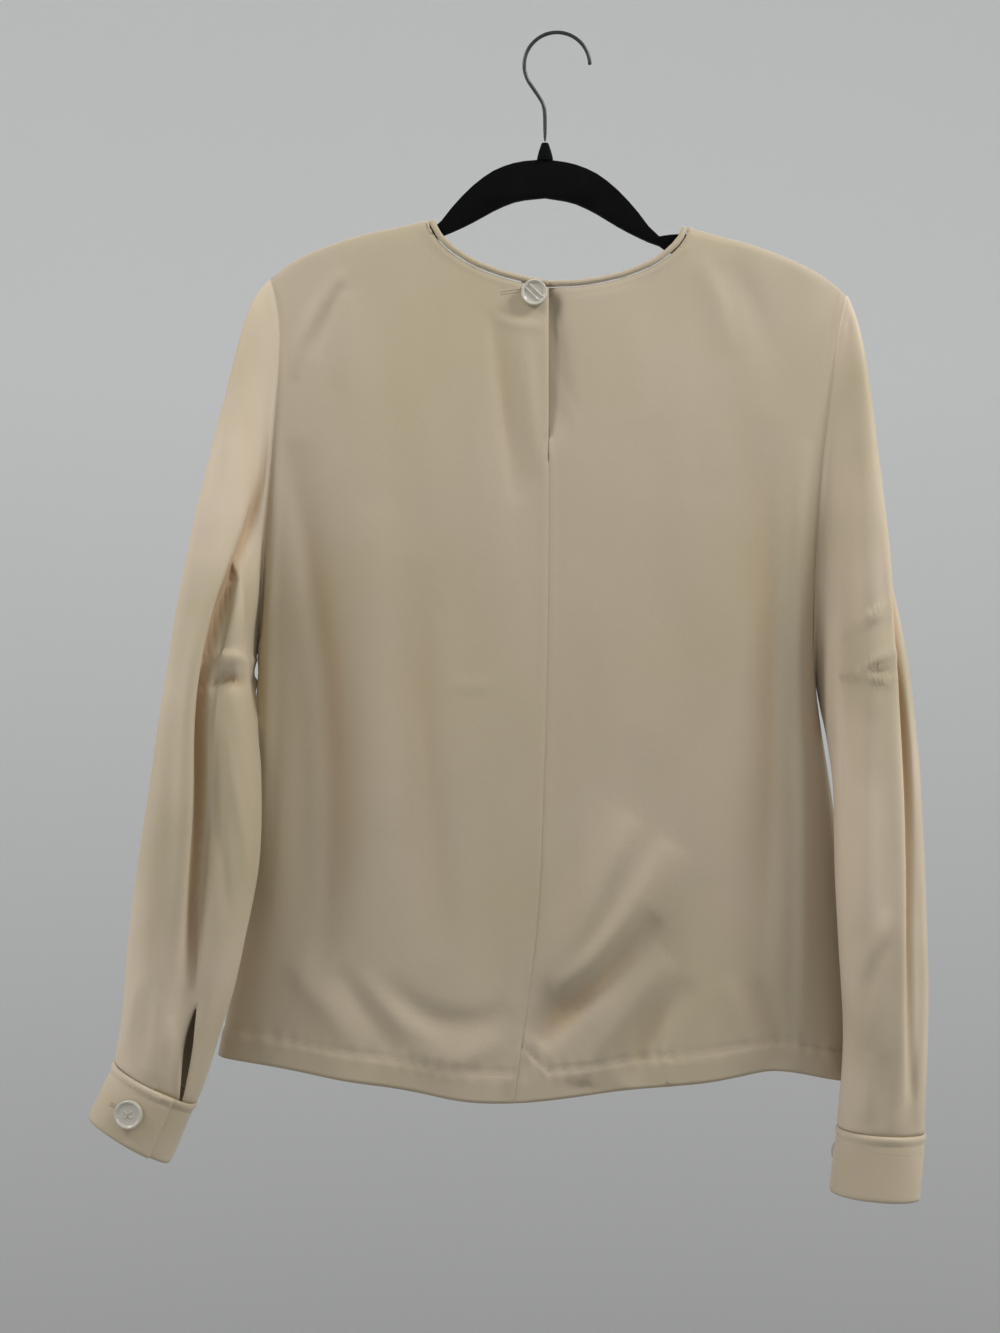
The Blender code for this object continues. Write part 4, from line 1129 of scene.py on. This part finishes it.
def silk_finish(name, overall):
    silk = Finish(name, Roughness=0.62, Sheen_Weight=0.22, Sheen_Roughness=0.45, Specular_IOR_Level=0.32)
    slow = silk.noise(7.0, 2.0)
    mottle = silk.noise(26.0, 3.0, (1.0, 1.0, 0.6))
    ramp = {"stops": [(0.40, (0.0, 0.0, 0.0)), (0.68, (1.0, 1.0, 1.0))]}
    yellowed = silk.node("ShaderNodeValToRGB", ramp, {"Fac": slow}, "Color")
    colour = silk.blend(yellowed, overall, CREAM_YELLOW)
    colour = silk.blend(mottle * 0.10, colour, CREAM_DULL)
    # Painted shade: the deeper a point lies in a fold, the more its colour goes to the dark warm fold brown.
    warmth = silk.node("ShaderNodeAttribute", {"attribute_name": "warmth"}, {}, "Fac")
    silk.shade("Base Color", silk.blend(warmth * 0.85, colour, CREAM_FOLD_SHADE))
    silk.shade("Roughness", 0.56 + 0.12 * mottle)
    grain = silk.noise(1500.0, 2.0, (1.0, 1.0, 0.55))
    pebble = silk.noise(620.0, 3.0)
    crumple = silk.noise(95.0, 3.0, (1.0, 1.0, 0.6))
    silk.bumped(grain * 0.35 + pebble * 0.35 + crumple * 0.9, 0.35, 0.0006)
    return silk.material


SILK = silk_finish("silk_crepe", CREAM)
# A lighter copy of the body's silk for the sleeves and cuffs: painted light.
SILK_LIT = silk_finish("silk_crepe_lit", CREAM_LIT)


# %% Thread
def thread_finish():
    thread = Finish("silk_thread", Roughness=0.45, Sheen_Weight=0.2)
    twist = thread.noise(2400.0, 1.0)
    thread.shade("Base Color", thread.blend(twist, (0.66, 0.56, 0.42), (0.54, 0.45, 0.33)))
    thread.bumped(twist, 0.4, 0.0001)
    return thread.material


THREAD_FINISH = thread_finish()

# %% [markdown]
# ### Pearl, flocking and wire
#
# The buttons are pearly: a milky base with thin wavy layers and a clear gloss. The hanger's flocking
# is a dense black nap that only catches light at its edges, and the hook is wire under black lacquer,
# with a few thin spots.


# %% Pearl
def pearl_finish():
    pearl = Finish(
        "grooved_pearl", Roughness=0.24, Coat_Weight=0.6, Coat_Roughness=0.12, Specular_IOR_Level=0.6
    )
    layers = pearl.noise(160.0, 3.0, (1.0, 1.0, 2.6))
    bands = pearl.node(
        "ShaderNodeTexWave", {"bands_direction": "DIAGONAL"},
        {"Vector": pearl.places(), "Scale": 120.0, "Distortion": 7.0, "Detail": 2.0}, "Fac",
    )
    milky = pearl.blend(layers, (0.66, 0.61, 0.50), (0.52, 0.50, 0.44))
    tinted = pearl.blend(bands * 0.35, milky, (0.62, 0.55, 0.50))
    pearl.shade("Base Color", tinted)
    pearl.shade("Roughness", 0.20 + 0.12 * layers)
    pearl.bumped(bands, 0.08, 0.0002)
    return pearl.material


PEARL = pearl_finish()


# %% Flocking and lacquer
def flock_finish():
    flock = Finish(
        "black_flocking", Roughness=0.95, Sheen_Weight=0.04, Sheen_Roughness=0.5, Specular_IOR_Level=0.06
    )
    nap = flock.noise(2600.0, 2.0)
    brushed = flock.noise(60.0, 3.0)
    flock.shade("Base Color", flock.blend(brushed, (0.0018, 0.0018, 0.002), (0.005, 0.005, 0.0055)))
    flock.bumped(nap * 0.8 + brushed * 0.2, 0.6, 0.0004)
    return flock.material


def lacquer_finish():
    lacquer = Finish("black_lacquer", Metallic=0.4, Coat_Weight=0.5, Coat_Roughness=0.2)
    worn = lacquer.noise(300.0, 4.0)
    lacquer.shade("Base Color", lacquer.blend(worn, (0.018, 0.018, 0.019), (0.050, 0.050, 0.052)))
    lacquer.shade("Roughness", 0.28 + 0.2 * worn)
    lacquer.bumped(worn, 0.15, 0.0002)
    return lacquer.material


FLOCK = flock_finish()
LACQUER = lacquer_finish()


# %% Give each piece its finish
def dress(obj, material):
    obj.data.materials.clear()
    obj.data.materials.append(material)


for name, piece in panels.items():
    if "stitches" in name or "buttonhole" in name:
        dress(piece, THREAD_FINISH)
    else:
        dress(piece, SILK_LIT if name.startswith(("sleeve", "cuff")) else SILK)
dress(binding, SILK)
for node in buttons:
    dress(buttons[node], PEARL)
    dress(button_threads[node], THREAD_FINISH)
dress(hanger_parts["hanger_body"], FLOCK)
dress(hanger_parts["hanger_collar"], FLOCK)
dress(hanger_parts["hanger_hook"], LACQUER)
for material in (SILK, SILK_LIT, THREAD_FINISH, PEARL, FLOCK, LACQUER):
    print(material.name, len(material.node_tree.nodes), "nodes")

# %% [markdown]
# ## The studio
#
# A pale round wall stands well behind the camera's path, so that every side of the blouse is seen
# against the same grey, and a pale floor lies below. The wall has painted shade that darkens it towards
# the floor, and wall and floor glow faintly, a painted glow for the light a room would bounce back. Two
# soft lights high up on either side rake down the cloth and bring out its folds, two weak ones at the
# sides lift the sleeves, and one behind lights the front.

# %% Walls and floor
ROOM_RADIUS = 3.4
FLOOR_HEIGHT = -2.40
ROOM_HEIGHT = 4.3
# Painted shade: the wall's colour and glow darken below this height, over the span, down to the share.
PAINTED_SHADE_START = 0.20  # the wall grows dimmer below this height
PAINTED_SHADE_SPAN = 2.60
PAINTED_SHADE_SHARE = 0.62
# Painted glow: the wall and floor give off light of their own.
PAINTED_GLOW = 0.135  # stands for the light that a real room would bounce back
GLOW_HIGH = (0.98, 0.985, 0.975)
GLOW_LOW = (0.55, 0.55, 0.54)


def backdrop_shade_and_glow_finish(name, colour):
    plain = Finish(name, Roughness=0.9, Specular_IOR_Level=0.1, Emission_Strength=PAINTED_GLOW)
    height = plain.node("ShaderNodeSeparateXYZ", {}, {"Vector": plain.places()}, "Z")
    depth = (PAINTED_SHADE_START - height) / PAINTED_SHADE_SPAN
    mottle = plain.noise(1.2, 2.0)
    paint = plain.blend(mottle * 0.3, colour, tuple(0.95 * c for c in colour))
    # Painted shade and painted glow, both darker towards the floor.
    plain.shade("Base Color", plain.blend(depth, paint, tuple(PAINTED_SHADE_SHARE * c for c in colour)))
    plain.shade("Emission Color", plain.blend(depth, GLOW_HIGH, GLOW_LOW))
    return plain.material


bpy.ops.object.select_all(action="DESELECT")
bpy.ops.mesh.primitive_cylinder_add(
    vertices=96, radius=ROOM_RADIUS, depth=ROOM_HEIGHT, end_fill_type="NOTHING",
    location=(0.0, 0.0, FLOOR_HEIGHT + ROOM_HEIGHT / 2),
)
room = bpy.context.object
room.name = "studio_wall"
bpy.ops.object.transform_apply(location=True, rotation=True, scale=True)
smooth_shade(room)
dress(room, backdrop_shade_and_glow_finish("studio_wall_painted_shade_and_glow", (0.78, 0.785, 0.78)))

bpy.ops.object.select_all(action="DESELECT")
bpy.ops.mesh.primitive_circle_add(
    vertices=96, radius=ROOM_RADIUS, fill_type="NGON", location=(0, 0, FLOOR_HEIGHT)
)
floor = bpy.context.object
floor.name = "studio_floor"
bpy.ops.object.transform_apply(location=True, rotation=True, scale=True)
dress(floor, backdrop_shade_and_glow_finish("floor_painted_glow", (0.72, 0.72, 0.72)))

# %% Lights
Lamp = namedtuple("Lamp", "name place aim power size")
LAMPS = [
    Lamp("left_high", (-1.10, -0.60, 0.60), (-0.02, 0.0, -0.45), 8.4, 0.5),
    Lamp("right_high", (1.20, -0.62, 0.85), (0.02, 0.0, -0.50), 17.5, 0.5),
    Lamp("left_side", (-1.70, -0.15, -0.30), (-0.24, 0.0, -0.55), 2.2, 0.5),
    Lamp("right_side", (1.70, -0.15, -0.30), (0.24, 0.0, -0.50), 4.5, 0.5),
    Lamp("behind", (0.0, 1.60, 0.80), (0.0, 0.0, -0.40), 12.0, 1.2),
]
for row in LAMPS:
    data = bpy.data.lights.new(row.name, "AREA")
    data.energy = row.power
    data.size = row.size
    lamp = bpy.data.objects.new(row.name, data)
    lamp.location = row.place
    aim = Vector(row.aim) - Vector(row.place)
    lamp.rotation_euler = aim.to_track_quat("-Z", "Y").to_euler()
    bpy.context.scene.collection.objects.link(lamp)
    print(row.name, row.power, "W")

world = bpy.data.worlds.new("studio_light")
world.use_nodes = True
sky = world.node_tree.nodes["Background"]
sky.inputs["Color"].default_value = (0.93, 0.96, 1.0, 1.0)
sky.inputs["Strength"].default_value = 0.34
bpy.context.scene.world = world
bpy.context.scene.view_settings.view_transform = "Standard"

# %% [markdown]
# ## What each piece is
#
# Every piece rides on the one body and stands for its frame node, which is hidden. The table below
# holds the size each panel's cloth was cut to, though only its node is read. The sleeves' width there
# is an ordinary pattern's, and wider than the sleeves built here, which are about 0.24 and 0.22 m round.

Cut = namedtuple("Cut", "node width length area held rests_on")
CUTS = [
    Cut("back_left", 0.225, 0.610, 0.118, "hung", ["hanger_body_flocked"]),
    Cut("back_right", 0.250, 0.610, 0.120, "hung", ["hanger_body_flocked"]),
    Cut("front", 0.450, 0.610, 0.226, "hung", ["hanger_body_flocked"]),
    Cut("sleeve_left", 0.400, 0.580, 0.110, "hung", []),
    Cut("sleeve_right", 0.400, 0.580, 0.105, "hung", []),
    Cut("cuff_left", 0.205, 0.052, 0.0100, "hung", []),
    Cut("cuff_right", 0.205, 0.052, 0.0100, "hung", []),
]


def claim(piece, slot, *nodes):
    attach(piece, "root")
    if nodes:
        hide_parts(*nodes)


for row in CUTS:
    claim(panels[row.node], "silk", row.node)
claim(binding, "silk", "neck_binding")
for name, piece in panels.items():
    if "stitches" in name or "buttonhole" in name:
        claim(piece, "silk")
for node in buttons:
    claim(buttons[node], "pearl", node)
    claim(button_threads[node], "silk")
claim(hanger_parts["hanger_body"], "velvet", "hanger_body")
claim(hanger_parts["hanger_collar"], "velvet", "hanger_collar")
claim(hanger_parts["hanger_hook"], "wire", "hanger_hook")
